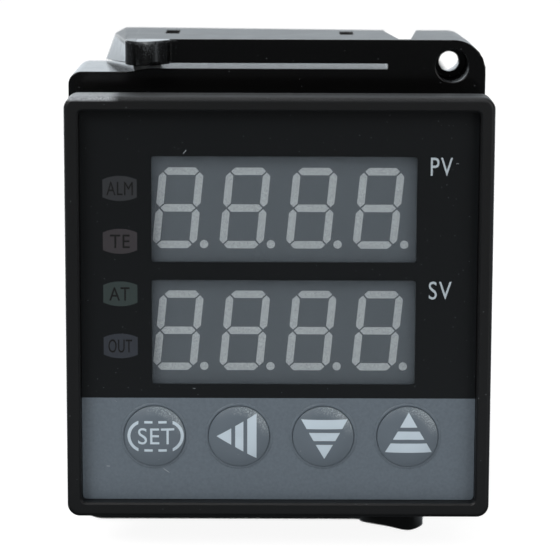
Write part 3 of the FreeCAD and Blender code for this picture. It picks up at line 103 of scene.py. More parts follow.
# The bracket's ring, the slots between its bars and arms, and the upper nose
RING_DEPTH = 15 * MM
RING_FRONT_Y = BRACKET_HIGH[1] - RING_DEPTH
SLOT_INSET = 3.34 * MM
SLOT_HALF_HEIGHT = 0.45 * MM
SLOT_REACH = 17.5 * MM
NOSE_X = -14.9 * MM
NOSE_SIDE_X = -16.4 * MM

# Lint on the film: angle in degrees, length and width of a fibre, share of the places it takes
LINT = ((35, 0.9 * MM, 0.09 * MM, 0.10), (-50, 0.6 * MM, 0.08 * MM, 0.12), (5, 0.45 * MM, 0.09 * MM, 0.10))

# Where the camera stands, from the middle of the panel's cut-out
CAMERA_PLACE = Vector((-0.604, -287.336, 52.641)) * MM


# ---------------------------------------------------------------- sizes and colours
class FrontSettings(bpy.types.PropertyGroup):
    """Sizes and colours of the film, its legends and the keys' symbols"""

    band_top: bpy.props.FloatProperty(
        name="Band top", description="Height where the grey band of the film starts",
        default=-10.5 * MM, unit="LENGTH")
    legend_height: bpy.props.FloatProperty(
        name="Legend height", description="Cap height of the display legends",
        default=2.05 * MM, min=0.5 * MM, max=4 * MM, unit="LENGTH")
    print_thickness: bpy.props.FloatProperty(
        name="Print thickness", description="Thickness of the screen-printed ink",
        default=0.03 * MM, min=0.005 * MM, max=0.2 * MM, unit="LENGTH")
    ink: bpy.props.StringProperty(
        name="Ink", description="Colour of the printed legends and symbols", default="#B9C7D1")
    smoke: bpy.props.StringProperty(
        name="Smoked field", description="Colour of the film's upper field", default="#080C0F")
    band: bpy.props.StringProperty(
        name="Band", description="Colour of the film's lower band", default="#5E6871")


class MouldingSettings(bpy.types.PropertyGroup):
    """Edge rounding and colours of the black mouldings"""

    bracket_edge: bpy.props.FloatProperty(
        name="Bracket edge", description="Radius of the bracket's moulded edges",
        default=0.12 * MM, min=0.02 * MM, max=0.4 * MM, unit="LENGTH")
    bezel_colour: bpy.props.StringProperty(
        name="Housing colour", description="Colour of the bezel, case and terminal block",
        default="#08090B")
    bracket_colour: bpy.props.StringProperty(
        name="Bracket colour", description="Colour of the bracket", default="#090909")


class StageSettings(bpy.types.PropertyGroup):
    """Camera and studio"""

    lens: bpy.props.FloatProperty(
        name="Lens", description="Focal length of the camera", default=164.6, min=20, max=400)
    pitch: bpy.props.FloatProperty(
        name="Pitch", description="How far the camera looks down",
        default=math.radians(9.869), subtype="ANGLE")
    yaw: bpy.props.FloatProperty(
        name="Yaw", description="How far the camera turns from straight ahead",
        default=math.radians(-0.1453), subtype="ANGLE")
    roll: bpy.props.FloatProperty(
        name="Roll", description="How far the camera leans over",
        default=math.radians(0.2035), subtype="ANGLE")
    stop: bpy.props.FloatProperty(
        name="Stop", description="Aperture of the lens, which sets how soft the far edges get",
        default=40, min=1, max=1000)
    room_light: bpy.props.FloatProperty(
        name="Room light", description="Even light that the room gives to matt surfaces",
        default=0.34, min=0, max=2)
    room_mirrored: bpy.props.FloatProperty(
        name="Room mirrored", description="How bright the room looks in glossy surfaces",
        default=0.07, min=0, max=2)


# ---------------------------------------------------------------- colour and nodes
def linear(text):
    """Linear colour from an sRGB hex value such as #1E1F21."""
    channels = []
    for i in (1, 3, 5):
        c = int(text[i:i + 2], 16) / 255
        channels.append(c / 12.92 if c <= 0.04045 else ((c + 0.055) / 1.055) ** 2.4)
    return (*channels, 1.0)


def add_node(tree, kind, settings=None, inputs=None):
    """Adds a node, sets its properties, and sets or links its inputs."""
    node = tree.nodes.new(kind)
    for name, value in (settings or {}).items():
        setattr(node, name, value)
    for name, value in (inputs or {}).items():
        if isinstance(value, bpy.types.NodeSocket):
            tree.links.new(value, node.inputs[name])
        else:
            node.inputs[name].default_value = value
    return node


def new_material(name, **shader):
    """Principled material with constants on the shader's own sockets."""
    material = bpy.data.materials.new(name)
    material.use_nodes = True
    tree = material.node_tree
    tree.nodes.clear()
    principled = add_node(tree, "ShaderNodeBsdfPrincipled", inputs=shader)
    out = add_node(tree, "ShaderNodeOutputMaterial")
    tree.links.new(principled.outputs["BSDF"], out.inputs["Surface"])
    return material, tree, principled


def object_place(tree):
    """Socket of the object's own coordinates, in metres."""
    return add_node(tree, "ShaderNodeTexCoord").outputs["Object"]


def axis_sockets(tree):
    """Sockets of the object's own X, Y and Z, in metres."""
    axes = add_node(tree, "ShaderNodeSeparateXYZ", inputs={0: object_place(tree)})
    return axes.outputs["X"], axes.outputs["Y"], axes.outputs["Z"]


def ramp_of(tree, value, start, end, low=0.0, high=1.0):
    """Value mapped from start to end, given in metres or as a share, onto low to high."""
    node = add_node(tree, "ShaderNodeMapRange",
                    inputs={"Value": value, "From Min": start, "From Max": end,
                            "To Min": low, "To Max": high})
    return node.outputs["Result"]


def maths(tree, operation, *values):
    """Result of a Math node; values are sockets or numbers."""
    return add_node(tree, "ShaderNodeMath", {"operation": operation}, dict(enumerate(values))).outputs[0]


def product(tree, first, *others):
    """Product of sockets or numbers."""
    for other in others:
        first = maths(tree, "MULTIPLY", first, other)
    return first


def noise_of(tree, size, detail=2.0):
    """Noise of a real grain size, 0 to 1."""
    node = add_node(tree, "ShaderNodeTexNoise",
                    inputs={"Vector": object_place(tree), "Scale": 1 / size, "Detail": detail})
    return node.outputs["Fac"]


def grain_bump(tree, principled, size, strength, depth):
    """Moulded or sprayed grain of a real size, as a bump."""
    bump = add_node(tree, "ShaderNodeBump",
                    inputs={"Height": noise_of(tree, size), "Strength": strength, "Distance": depth})
    tree.links.new(bump.outputs["Normal"], principled.inputs["Normal"])


def dust_mask(tree, spacing, cover):
    """Sparse dust specks: cell points smaller than a share of their spacing, in loose patches."""
    cells = add_node(tree, "ShaderNodeTexVoronoi",
                     inputs={"Vector": object_place(tree), "Scale": 1 / spacing})
    near = maths(tree, "LESS_THAN", cells.outputs["Distance"], cover)
    patches = maths(tree, "GREATER_THAN", noise_of(tree, 4 * spacing), 0.52)
    return product(tree, near, patches)


def lint_mask(tree, angle, length, width, share):
    """Short straight fibres at one angle: stretched cell points, kept in a share of the cells."""
    reach = 0.05
    stretch = 1 / (2 * reach)
    turned = add_node(tree, "ShaderNodeMapping", {"vector_type": "TEXTURE"},
                      {"Vector": object_place(tree), "Rotation": (0, math.radians(angle), 0),
                       "Scale": (stretch * length, stretch * length, stretch * width)})
    cells = add_node(tree, "ShaderNodeTexVoronoi",
                     inputs={"Vector": turned.outputs["Vector"], "Scale": 1.0})
    chance = add_node(tree, "ShaderNodeSeparateColor", inputs={0: cells.outputs["Color"]})
    near = maths(tree, "LESS_THAN", cells.outputs["Distance"], reach)
    kept = maths(tree, "LESS_THAN", chance.outputs["Red"], share)
    return product(tree, near, kept)


def mixed(tree, factor, low, high):
    """Colour mixed between two by a factor socket; either may be a socket or a colour."""
    node = add_node(tree, "ShaderNodeMix", {"data_type": "RGBA"}, {0: factor, 6: low, 7: high})
    return node.outputs[2]


# ---------------------------------------------------------------- materials
def ledge_ramp(tree, z, low, high):
    """Value that turns from low to high over the bezel's top ledge."""
    return ramp_of(tree, z, LEDGE_Z - 0.15 * MM, LEDGE_Z + 0.1 * MM, low, high)


def pale_ledge_grains(tree, x, y, z):
    """Share of pale grains painted on the bezel's top ledge, most over the left corner."""
    ledge = product(tree, ledge_ramp(tree, z, 0.0, 1.0), maths(tree, "LESS_THAN", y, LEDGE_REAR_Y))
    corner = ramp_of(tree, x, *CORNER_PALE_X, 0.05, 0.8)
    grains = ramp_of(tree, noise_of(tree, 0.14 * MM, 3.0), 0.35, 0.6, 0.45, 1.2)
    return product(tree, ledge, corner, grains)


def moulded_abs(name, colour):
    """Black ABS from a spark-eroded mould: fine grain, soft sheen, a little dust, and pale grains painted
    on its top ledge.
    """
    material, tree, shader = new_material(name, Roughness=0.48, IOR=1.5)
    x, y, z = axis_sockets(tree)
    shade = mixed(tree, dust_mask(tree, 0.9 * MM, 0.07), linear(colour), linear("#55585C"))
    # Pale grains painted over the top ledge, most at its left corner
    shade = mixed(tree, pale_ledge_grains(tree, x, y, z), shade, linear("#ABAFB3"))
    tree.links.new(shade, shader.inputs["Base Color"])
    tree.links.new(ledge_ramp(tree, z, 0.5, 0.33), shader.inputs["Specular IOR Level"])
    grain_bump(tree, shader, 0.18 * MM, 0.25, 0.02 * MM)
    return material


def slot_mask(tree, x, z, behind):
    """Faces that bound the slots between the ring's bars and its arms."""
    upper = maths(tree, "COMPARE", z, BRACKET_HIGH[2] - SLOT_INSET, SLOT_HALF_HEIGHT)
    lower = maths(tree, "COMPARE", z, BRACKET_LOW[2] + SLOT_INSET, SLOT_HALF_HEIGHT)
    inside = maths(tree, "LESS_THAN", maths(tree, "ABSOLUTE", x), SLOT_REACH)
    return product(tree, maths(tree, "MAXIMUM", upper, lower), behind, inside)


def scuffed_sheen(tree, z, behind, slots):
    """Roughness of the bracket: polished in front, scuffed on its outer faces and in the slots."""
    outer = maths(tree, "MAXIMUM", maths(tree, "GREATER_THAN", z, BRACKET_HIGH[2] - 1 * MM),
                  maths(tree, "LESS_THAN", z, BRACKET_LOW[2] + 1 * MM))
    scuffs = ramp_of(tree, noise_of(tree, 2.5 * MM, 4.0), 0.35, 0.7, 0.12, 0.15)
    worn = ramp_of(tree, product(tree, outer, behind), 0, 1, 0.0, 0.19)
    return product(tree, maths(tree, "ADD", scuffs, worn), ramp_of(tree, slots, 0, 1, 1.0, 1.4))


def nose_highlight_and_patch(tree, x, y, z):
    """Painted highlight in pale grains along the upper nose's top rim, and a pale patch below it."""
    top = BRACKET_HIGH[2]
    rim = ramp_of(tree, z, top - 0.75 * MM, top - 0.3 * MM, 0.0, 0.16)
    across = maths(tree, "ABSOLUTE", maths(tree, "SUBTRACT", x, NOSE_X))
    patch = ramp_of(tree, across, 0.2 * MM, 1.6 * MM, 0.17, 0.0)
    fade = ramp_of(tree, z, top - 2.4 * MM, top - 0.4 * MM)
    level = maths(tree, "ADD", rim, product(tree, patch, fade))
    grains = ramp_of(tree, maths(tree, "ADD", noise_of(tree, 0.08 * MM), level), 0.64, 0.78, 0.0, 0.45)
    near = ramp_of(tree, across, 2.9 * MM, 3.1 * MM, 1.0, 0.0)
    return product(tree, grains, near, maths(tree, "LESS_THAN", y, RING_FRONT_Y))


def polished_abs(name, colour):
    """Black ABS from a polished mould: glossy, scuffed on its outer faces, with a painted highlight and a
    pale patch on the upper nose, dull on that nose's side, and painted near white in the slots under a
    clear coat, a painted reflection."""
    material, tree, shader = new_material(name, IOR=1.52, **{"Coat Roughness": 0.2})
    x, y, z = axis_sockets(tree)
    behind = maths(tree, "GREATER_THAN", y, RING_FRONT_Y + 0.2 * MM)
    slots = slot_mask(tree, x, z, behind)
    tree.links.new(slots, shader.inputs["Coat Weight"])
    tree.links.new(scuffed_sheen(tree, z, behind, slots), shader.inputs["Roughness"])
    shade = mixed(tree, dust_mask(tree, 0.8 * MM, 0.06), linear(colour), linear("#6A6C70"))
    # Painted highlight: pale grains along the nose's top rim where its top face catches the light, and a
    # pale patch below
    shade = mixed(tree, nose_highlight_and_patch(tree, x, y, z), shade, linear("#A3A8AC"))
    # Painted reflection: the slots are painted near white, standing for the white room their faces mirror
    # at a grazing angle
    shade = mixed(tree, product(tree, slots, 0.9), shade, linear("#DEE3E6"))
    tree.links.new(shade, shader.inputs["Base Color"])
    nose_side = product(tree, maths(tree, "LESS_THAN", x, NOSE_SIDE_X),
                        maths(tree, "LESS_THAN", y, RING_FRONT_Y - 0.3 * MM))
    tree.links.new(ramp_of(tree, nose_side, 0, 1, 0.5, 0.03), shader.inputs["Specular IOR Level"])
    return material


def printed_film(name, smoke, band, band_top):
    """Polyester film, reverse printed in two fields, with dust and lint on its satin face."""
    material, tree, shader = new_material(name, Roughness=0.42, IOR=1.45)
    upper = maths(tree, "GREATER_THAN", axis_sockets(tree)[2], band_top)
    field = mixed(tree, upper, linear(band), linear(smoke))
    cloud = ramp_of(tree, noise_of(tree, 0.3 * MM, 3.0), 0.3, 0.7, 0.95, 1.1)
    shade = add_node(tree, "ShaderNodeVectorMath", {"operation": "SCALE"},
                     {0: field, "Scale": cloud}).outputs[0]
    shade = mixed(tree, dust_mask(tree, 0.6 * MM, 0.075), shade, linear("#565B60"))
    for fibre in LINT:
        shade = mixed(tree, lint_mask(tree, *fibre), shade, linear("#8D9499"))
    tree.links.new(shade, shader.inputs["Base Color"])
    return material


def key_skin(name, colour, centre):
    """Embossed key top in the band's colour, satin, with a painted highlight in pale grains on its upper
    right rim, and a few dust specks.
    """
    material, tree, shader = new_material(name, Roughness=0.36, IOR=1.47)
    x, _, z = axis_sockets(tree)
    across = maths(tree, "SUBTRACT", x, centre[0])
    up = maths(tree, "SUBTRACT", z, centre[2])
    square = maths(tree, "ADD", product(tree, across, across), product(tree, up, up))
    radius = maths(tree, "SQRT", square)
    towards = maths(tree, "ADD", product(tree, across, 0.55), product(tree, up, 0.83))
    side = ramp_of(tree, maths(tree, "DIVIDE", towards, radius), 0.55, 0.95)
    rim = ramp_of(tree, radius, 2.35 * MM, 3.1 * MM)
    grains = ramp_of(tree, noise_of(tree, 0.13 * MM, 3.0), 0.5, 0.62, 0.1, 0.8)
    # Painted highlight: pale grains on the upper right of each dome's rim, the side the light falls on
    shade = mixed(tree, product(tree, side, rim, grains), linear(colour), linear("#A5AFB2"))
    shade = mixed(tree, dust_mask(tree, 0.5 * MM, 0.08), shade, linear("#868F93"))
    tree.links.new(shade, shader.inputs["Base Color"])
    return material


def smoked_sheet(name):
    """Clear acrylic sheet, lightly smoked: mostly see-through with a soft veil."""
    material, tree, shader = new_material(name, Roughness=0.12, IOR=1.49,
                                          **{"Base Color": linear("#6F7680")})
    veil = ramp_of(tree, noise_of(tree, 0.16 * MM, 3.0), 0.35, 0.65, 0.1, 0.22)
    tree.links.new(veil, shader.inputs["Alpha"])
    return material


def plain_plastic(name, colour, roughness):
    """Moulded or cast plastic of one colour."""
    return new_material(name, Roughness=roughness, IOR=1.5, **{"Base Color": linear(colour)})[0]


def metal(name, colour, roughness):
    """Bare or plated metal."""
    return new_material(name, Roughness=roughness, Metallic=1.0, **{"Base Color": linear(colour)})[0]


def solder_mask(name, colour):
    """Green solder mask over copper, glossy lacquer."""
    material, tree, shader = new_material(name, Roughness=0.3, IOR=1.5)
    tracks = add_node(tree, "ShaderNodeTexBrick",
                      inputs={"Vector": object_place(tree), "Scale": 1 / (6 * MM),
                              "Color1": linear(colour), "Color2": linear("#0E4A22"),
                              "Mortar": linear("#14602F"), "Mortar Size": 0.03})
    tree.links.new(tracks.outputs["Color"], shader.inputs["Base Color"])
    return material


def pill_acrylic(name):
    """Four tinted light guides in one moulding: each field has its own tint, by height."""
    tints = ("#30343B", "#313B3A", "#383538", "#303235")
    material, tree, shader = new_material(name, Roughness=0.3, IOR=1.49)
    height = ramp_of(tree, axis_sockets(tree)[2], PILL_LOW[2], PILL_HIGH[2])
    ramp = add_node(tree, "ShaderNodeValToRGB", inputs={0: height})
    ramp.color_ramp.interpolation = "CONSTANT"
    for i, tint in enumerate(tints):
        share = i / len(tints)
        stop = ramp.color_ramp.elements[i] if i < 2 else ramp.color_ramp.elements.new(share)
        stop.position = share
        stop.color = linear(tint)
    tree.links.new(ramp.outputs["Color"], shader.inputs["Base Color"])
    return material


def seamless_paper(name, mirrored_front):
    """White studio paper: white where it is seen, with a soft shadow. Glossy faces mirror it white
    behind the object and dark in front, with a soft glow a little way in front."""
    material = bpy.data.materials.new(name)
    material.use_nodes = True
    tree = material.node_tree
    tree.nodes.clear()
    rays = add_node(tree, "ShaderNodeLightPath")
    seen = add_node(tree, "ShaderNodeMath", {"operation": "ADD", "use_clamp": True},
                    {0: rays.outputs["Is Camera Ray"], 1: rays.outputs["Is Transmission Ray"]})
    paper = add_node(tree, "ShaderNodeBsdfDiffuse", inputs={"Color": linear("#EDEDED")})
    glow = add_node(tree, "ShaderNodeEmission", inputs={"Strength": 1.28})
    plain = add_node(tree, "ShaderNodeMixShader",
                     inputs={0: product(tree, seen.outputs["Value"], 0.72), 1: paper.outputs[0],
                             2: glow.outputs[0]})
    y = axis_sockets(tree)[1]
    ahead = product(tree, ramp_of(tree, y, -250 * MM, -30 * MM, mirrored_front, mirrored_front + 0.3),
                    ramp_of(tree, y, -25 * MM, -8 * MM, 1.0, 0.2))
    level = maths(tree, "MAXIMUM", ahead, ramp_of(tree, y, 4 * MM, 26 * MM, 0.0, 1.12))
    mirrored = add_node(tree, "ShaderNodeEmission",
                        inputs={"Color": linear("#EFF8FF"), "Strength": level})
    mix = add_node(tree, "ShaderNodeMixShader",
                   inputs={0: rays.outputs["Is Glossy Ray"], 1: plain.outputs[0],
                           2: mirrored.outputs[0]})
    add_node(tree, "ShaderNodeOutputMaterial", inputs={"Surface": mix.outputs[0]})
    return material


# ---------------------------------------------------------------- modelling helpers
def only(*objects):
    """Selects just these objects, the last one active."""
    if bpy.context.object and bpy.context.object.mode != "OBJECT":
        bpy.ops.object.mode_set(mode="OBJECT")
    bpy.ops.object.select_all(action="DESELECT")
    for o in objects:
        o.select_set(True)
    bpy.context.view_layer.objects.active = objects[-1]


def settle(obj):
    """Puts the object's place, turn and size into its mesh."""
    only(obj)
    bpy.ops.object.transform_apply(location=True, rotation=True, scale=True)
    return obj


def paint(obj, material):
    """Gives the object one material."""
    obj.data.materials.clear()
    obj.data.materials.append(material)
    return obj


def apply_modifier(obj, kind, **settings):
    """Adds a modifier with its settings and applies it."""
    only(obj)
    bpy.ops.object.modifier_add(type=kind)
    modifier = obj.modifiers[-1]
    for name, value in settings.items():
        setattr(modifier, name, value)
    bpy.ops.object.modifier_apply(modifier=modifier.name)


def pull_in(obj, source, reach):
    """Puts points that the edge rounding threw clear of the source back on it, inside its box."""
    low, high = source.bound_box[0], source.bound_box[6]
    for point in obj.data.vertices:
        place = source.closest_point_on_mesh(point.co)[1]
        if (point.co - place).length > reach:
            point.co = place
        point.co = [min(max(c, a), b) for c, a, b in zip(point.co, low, high)]


def dressed(node, material, edge=0.0):
    """Merged copy of a CAD node with its edges eased and its curves shaded smooth."""
    merge_reach = 0.002 * MM
    flat_angle, sharp_angle, smooth_angle = (math.radians(a) for a in (0.5, 40, 30))
    source = frame["nodes"][node]
    body = source["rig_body"]
    only(source)
    bpy.ops.object.duplicate()
    copy = bpy.context.object
    bpy.ops.object.parent_clear(type="CLEAR_KEEP_TRANSFORM")
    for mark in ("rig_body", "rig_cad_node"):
        del copy[mark]
    copy.name = node + "_dressed"
    copy.data.name = copy.name
    if copy.data.has_custom_normals:
        bpy.ops.mesh.customdata_custom_splitnormals_clear()
    bpy.ops.object.mode_set(mode="EDIT")
    bpy.ops.mesh.select_all(action="SELECT")
    bpy.ops.mesh.remove_doubles(threshold=merge_reach)
    bpy.ops.mesh.dissolve_limited(angle_limit=flat_angle)
    bpy.ops.object.mode_set(mode="OBJECT")
    if edge:
        apply_modifier(copy, "BEVEL", width=edge, segments=3, limit_method="ANGLE",
                       angle_limit=sharp_angle, use_clamp_overlap=False, miter_outer="MITER_ARC")
        pull_in(copy, source, 0.45 * edge)
    only(copy)
    bpy.ops.object.shade_smooth_by_angle(angle=smooth_angle)
    apply_modifier(copy, "WEIGHTED_NORMAL", keep_sharp=True, weight=100)
    paint(copy, material)
    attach(copy, body)
    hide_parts(node)
    return copy


def lettering(text, box, front_y, thickness, spacing=1.0):
    """Flat lettering that faces the viewer, lies in front of a plane and fills a box of X and Z,
    given in millimetres."""
    x0, x1, z0, z1 = box
    bpy.ops.object.text_add(rotation=(math.radians(90), 0, 0))
    words = bpy.context.object
    words.data.body = text
    words.data.size = 1.0
    words.data.space_character = spacing
    words.data.extrude = 0.1
    words.data.resolution_u = 6
    only(words)
    bpy.ops.object.convert(target="MESH")
    settle(words)
    low = [min(v.co[i] for v in words.data.vertices) for i in range(3)]
    high = [max(v.co[i] for v in words.data.vertices) for i in range(3)]
    size = ((x1 - x0) * MM, thickness, (z1 - z0) * MM)
    place = ((x0 + x1) / 2 * MM, front_y - thickness / 2, (z0 + z1) / 2 * MM)
    bpy.ops.transform.translate(value=[-(a + b) / 2 for a, b in zip(low, high)])
    settle(words)
    bpy.ops.transform.resize(value=[s / (b - a) for s, a, b in zip(size, low, high)],
                             center_override=(0, 0, 0))
    bpy.ops.transform.translate(value=place)
    return settle(words)


def remove_faces(obj, test):
    """Deletes the faces whose centre passes the test."""
    only(obj)
    bpy.ops.object.mode_set(mode="EDIT")
    bpy.ops.mesh.select_mode(type="FACE")
    bpy.ops.mesh.select_all(action="DESELECT")
    mesh = bmesh.from_edit_mesh(obj.data)
    for face in mesh.faces:
        face.select = test(face.calc_center_median())
    bmesh.update_edit_mesh(obj.data)
    bpy.ops.mesh.delete(type="FACE")
    bpy.ops.object.mode_set(mode="OBJECT")


def slice_mesh(obj, point, normal, clear=False):
    """Cuts the mesh by a plane, and clears what lies on the normal's side if asked."""
    only(obj)
    bpy.ops.object.mode_set(mode="EDIT")
    bpy.ops.mesh.select_all(action="SELECT")
    bpy.ops.mesh.bisect(plane_co=point, plane_no=normal, clear_outer=clear, threshold=1e-7)
    bpy.ops.object.mode_set(mode="OBJECT")


def flat_grid(name, width, height, steps, centre):
    """Fine flat grid that faces the viewer, with its sizes in millimetres."""
    bpy.ops.mesh.primitive_grid_add(x_subdivisions=steps, y_subdivisions=steps, size=1,
                                    rotation=(math.radians(90), 0, 0), location=centre)
    grid = bpy.context.object
    grid.name = name
    grid.scale = (width * MM, height * MM, 1)
    return settle(grid)


def wrap_on(symbol, key, thickness):
    """Lays a flat symbol just above the key's dome and gives it the ink's thickness."""
    gap = 0.008 * MM
    apply_modifier(symbol, "SHRINKWRAP", wrap_method="PROJECT", target=key, use_project_y=True,
                   use_positive_direction=True, use_negative_direction=False, offset=gap)
    apply_modifier(symbol, "SOLIDIFY", thickness=thickness, offset=0.0)


# ---------------------------------------------------------------- operators
class CONTROLLER_OT_mouldings(bpy.types.Operator):
    """Dress the bezel, case and terminal block"""
    bl_idname = "controller.mouldings"
    bl_label = "Housing mouldings"

    def execute(self, context):
        settings = context.scene.controller_mouldings
        skin = moulded_abs("Moulded black ABS", settings.bezel_colour)
        for node in ("bezel", "case", "terminal_block"):
            dressed(node, skin)
        return {"FINISHED"}


class CONTROLLER_OT_bracket(bpy.types.Operator):
    """Dress the push-on bracket with eased edges"""
    bl_idname = "controller.bracket"
    bl_label = "Mounting bracket"

    def execute(self, context):
        settings = context.scene.controller_mouldings
        skin = polished_abs("Polished black ABS", settings.bracket_colour)
        dressed("mounting_bracket", skin, edge=settings.bracket_edge)
        return {"FINISHED"}


class CONTROLLER_OT_film(bpy.types.Operator):
    """Dress the printed film and the clear sheet behind its windows"""
    bl_idname = "controller.film"
    bl_label = "Film and windows"

    def execute(self, context):
        settings = context.scene.controller_front
        film = printed_film("Reverse-printed polyester", settings.smoke, settings.band, settings.band_top)
        dressed("front_overlay", film)
        paint(frame["nodes"]["display_lens"], smoked_sheet("Smoked clear acrylic"))
        return {"FINISHED"}


class CONTROLLER_OT_displays(bpy.types.Operator):
    """Dress the digit displays and the lamps behind the indicators"""
    bl_idname = "controller.displays"
    bl_label = "Displays"

    def execute(self, context):
        face = plain_plastic("Grey display face print", "#4D575B", 0.6)
        bars = plain_plastic("Milky epoxy bars", "#C2CACC", 0.35)
        lamp = plain_plastic("Diffused lamp epoxy", "#9A948E", 0.3)
        for name in ("pv", "sv"):
            paint(frame["nodes"]["display_" + name], face)
            paint(frame["nodes"]["segments_" + name], bars)
        paint(frame["nodes"]["indicator_leds"], lamp)
        return {"FINISHED"}


class CONTROLLER_OT_indicators(bpy.types.Operator):
    """Dress the indicator lenses and print their letters"""
    bl_idname = "controller.indicators"
    bl_label = "Indicators"

    def execute(self, context):
        settings = context.scene.controller_front
        dressed("indicator_lenses", pill_acrylic("Tinted light-guide acrylic"))
        ink = plain_plastic("Black screen ink", "#050505", 0.6)
        # Word, its width and how far it is printed off the middle, in millimetres
        rows = (("ALM", 2.97, 0.0), ("TE", 2.2, 0.0), ("AT", 2.28, -0.1), ("OUT", 2.67, -0.05))
        pill_height = 2.85
        half_cap = 0.76
        column = (PILL_LOW[0] + PILL_HIGH[0]) / 2 / MM
        pitch = ((PILL_HIGH[2] - PILL_LOW[2]) / MM - pill_height) / (len(rows) - 1)
        for i, (text, width, shift) in enumerate(rows):
            x = column + shift
            z = PILL_HIGH[2] / MM - pill_height / 2 - i * pitch
            box = (x - width / 2, x + width / 2, z - half_cap, z + half_cap)
            word = lettering(text, box, PILL_LOW[1], settings.print_thickness, spacing=1.06)
            word.name = "indicator_print_" + text.lower()
            paint(word, ink)
            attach(word, "controller")
        return {"FINISHED"}


class CONTROLLER_OT_legends(bpy.types.Operator):
    """Print the display legends on the film"""
    bl_idname = "controller.legends"
    bl_label = "Display legends"

    def execute(self, context):
        settings = context.scene.controller_front
        ink = plain_plastic("Pale screen ink", "#A7B2B9", 0.5)
        height = settings.legend_height / MM
        # Word, its left and right ends and its foot, in millimetres
        for text, x0, x1, z0 in (("PV", 16.96, 19.43, 15.03), ("SV", 16.92, 19.48, 0.96)):
            word = lettering(text, (x0, x1, z0, z0 + height), FILM_FRONT_Y,
                             settings.print_thickness, spacing=1.14)
            word.name = "legend_print_" + text.lower()
            paint(word, ink)
            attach(word, "controller")
        return {"FINISHED"}


def key_centre(node, right=0.0, up=0.0):
    """Centre of a key's print: in front of its dome, and off its middle by some millimetres."""
    low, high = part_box(node)
    clear = 1 * MM
    return Vector(((low[0] + high[0]) / 2 + right * MM, low[1] - clear,
                   (low[2] + high[2]) / 2 + up * MM))


def rolled_edge(name, centre):
    """Soft roll of film around a key, over the fine gap between the key and the film."""
    thickness = 0.2 * MM
    sunk = 0.02 * MM
    bpy.ops.mesh.primitive_torus_add(major_segments=128, minor_segments=16,
                                     major_radius=KEY_RADIUS + thickness, minor_radius=thickness,
                                     rotation=(math.radians(90), 0, 0),
                                     location=(centre[0], FILM_FRONT_Y + sunk, centre[2]))
    roll = bpy.context.object
    roll.name = name
    roll.scale = (1, 1, 0.5)
    bpy.ops.object.shade_smooth()
    return settle(roll)


def barred_triangle(name, centre, point_to, tip, height, base):
    """Triangle cut into a tip and two bars, pointing along a direction in the front plane; its
    tip's distance from the centre, its height and its base are in millimetres."""
    blank = 6.4
    gaps = ((0.368, 0.466), (0.672, 0.768))
    symbol = flat_grid(name, blank, blank, 26, centre)
    ahead = Vector(point_to)
    side = ahead.cross(Vector((0, 1, 0)))
    apex = centre + ahead * tip * MM
    foot = centre + ahead * (tip - height) * MM
    slice_mesh(symbol, foot, -ahead, clear=True)
    for s in (-1, 1):
        outward = (side * s * height + ahead * base / 2).normalized()
        slice_mesh(symbol, apex, outward, clear=True)
    for pair in gaps:
        for share in pair:
            slice_mesh(symbol, apex - ahead * height * share * MM, ahead)

    def in_gap(point):
        share = (apex - point).dot(ahead) / (height * MM)
        return any(low < share < high for low, high in gaps)

    remove_faces(symbol, in_gap)
    return symbol


def arc_of(centre, side):
    """One of the two arcs beside the word SET: a ring whose inner part is cut away."""
    radius, shift, width, cut = (size * MM for size in (1.87, 1.33, 0.34, 1.95))
    bpy.ops.mesh.primitive_circle_add(vertices=96, radius=radius, fill_type="NGON",
                                      rotation=(math.radians(90), 0, 0),
                                      location=centre + Vector((side * shift, 0, 0)))
    arc = settle(bpy.context.object)
    bpy.ops.object.mode_set(mode="EDIT")
    bpy.ops.mesh.select_all(action="SELECT")
    bpy.ops.mesh.inset(thickness=width)
    bpy.ops.mesh.delete(type="FACE")
    bpy.ops.object.mode_set(mode="OBJECT")
    slice_mesh(arc, centre + Vector((side * cut, 0, 0)), (-side, 0, 0), clear=True)
    return arc


def set_word(centre):
    """The word SET as one flat sheet, cut into strips so that it can bend over the dome."""
    thickness = 0.02 * MM
    strip = 0.5 * MM
    word = lettering("SET", (-1.98, 2.13, -0.93, 0.96), 0.0, thickness, spacing=1.06)
    bpy.ops.transform.translate(value=centre)
    settle(word)
    remove_faces(word, lambda c: c[1] > centre[1] - 0.75 * thickness)
    for i in range(-4, 4):
        step = (i + 0.5) * strip
        slice_mesh(word, centre + Vector((step, 0, 0)), (1, 0, 0))
        slice_mesh(word, centre + Vector((0, 0, step / 2)), (0, 0, 1))
    return word


def set_symbol(centre):
    """The word SET between two arcs and two pairs of dashes."""
    dash_x, dash_z = 0.8 * MM, 1.64 * MM
    parts = []
    for side in (-1, 1):
        parts.append(arc_of(centre, side))
        for z in (-dash_z, dash_z):
            parts.append(flat_grid("dash", 0.94, 0.27, 5, centre + Vector((side * dash_x, 0, z))))
    parts.append(set_word(centre))
    only(*parts)
    bpy.ops.object.join()
    bpy.context.object.name = "set_symbol"
    return bpy.context.object


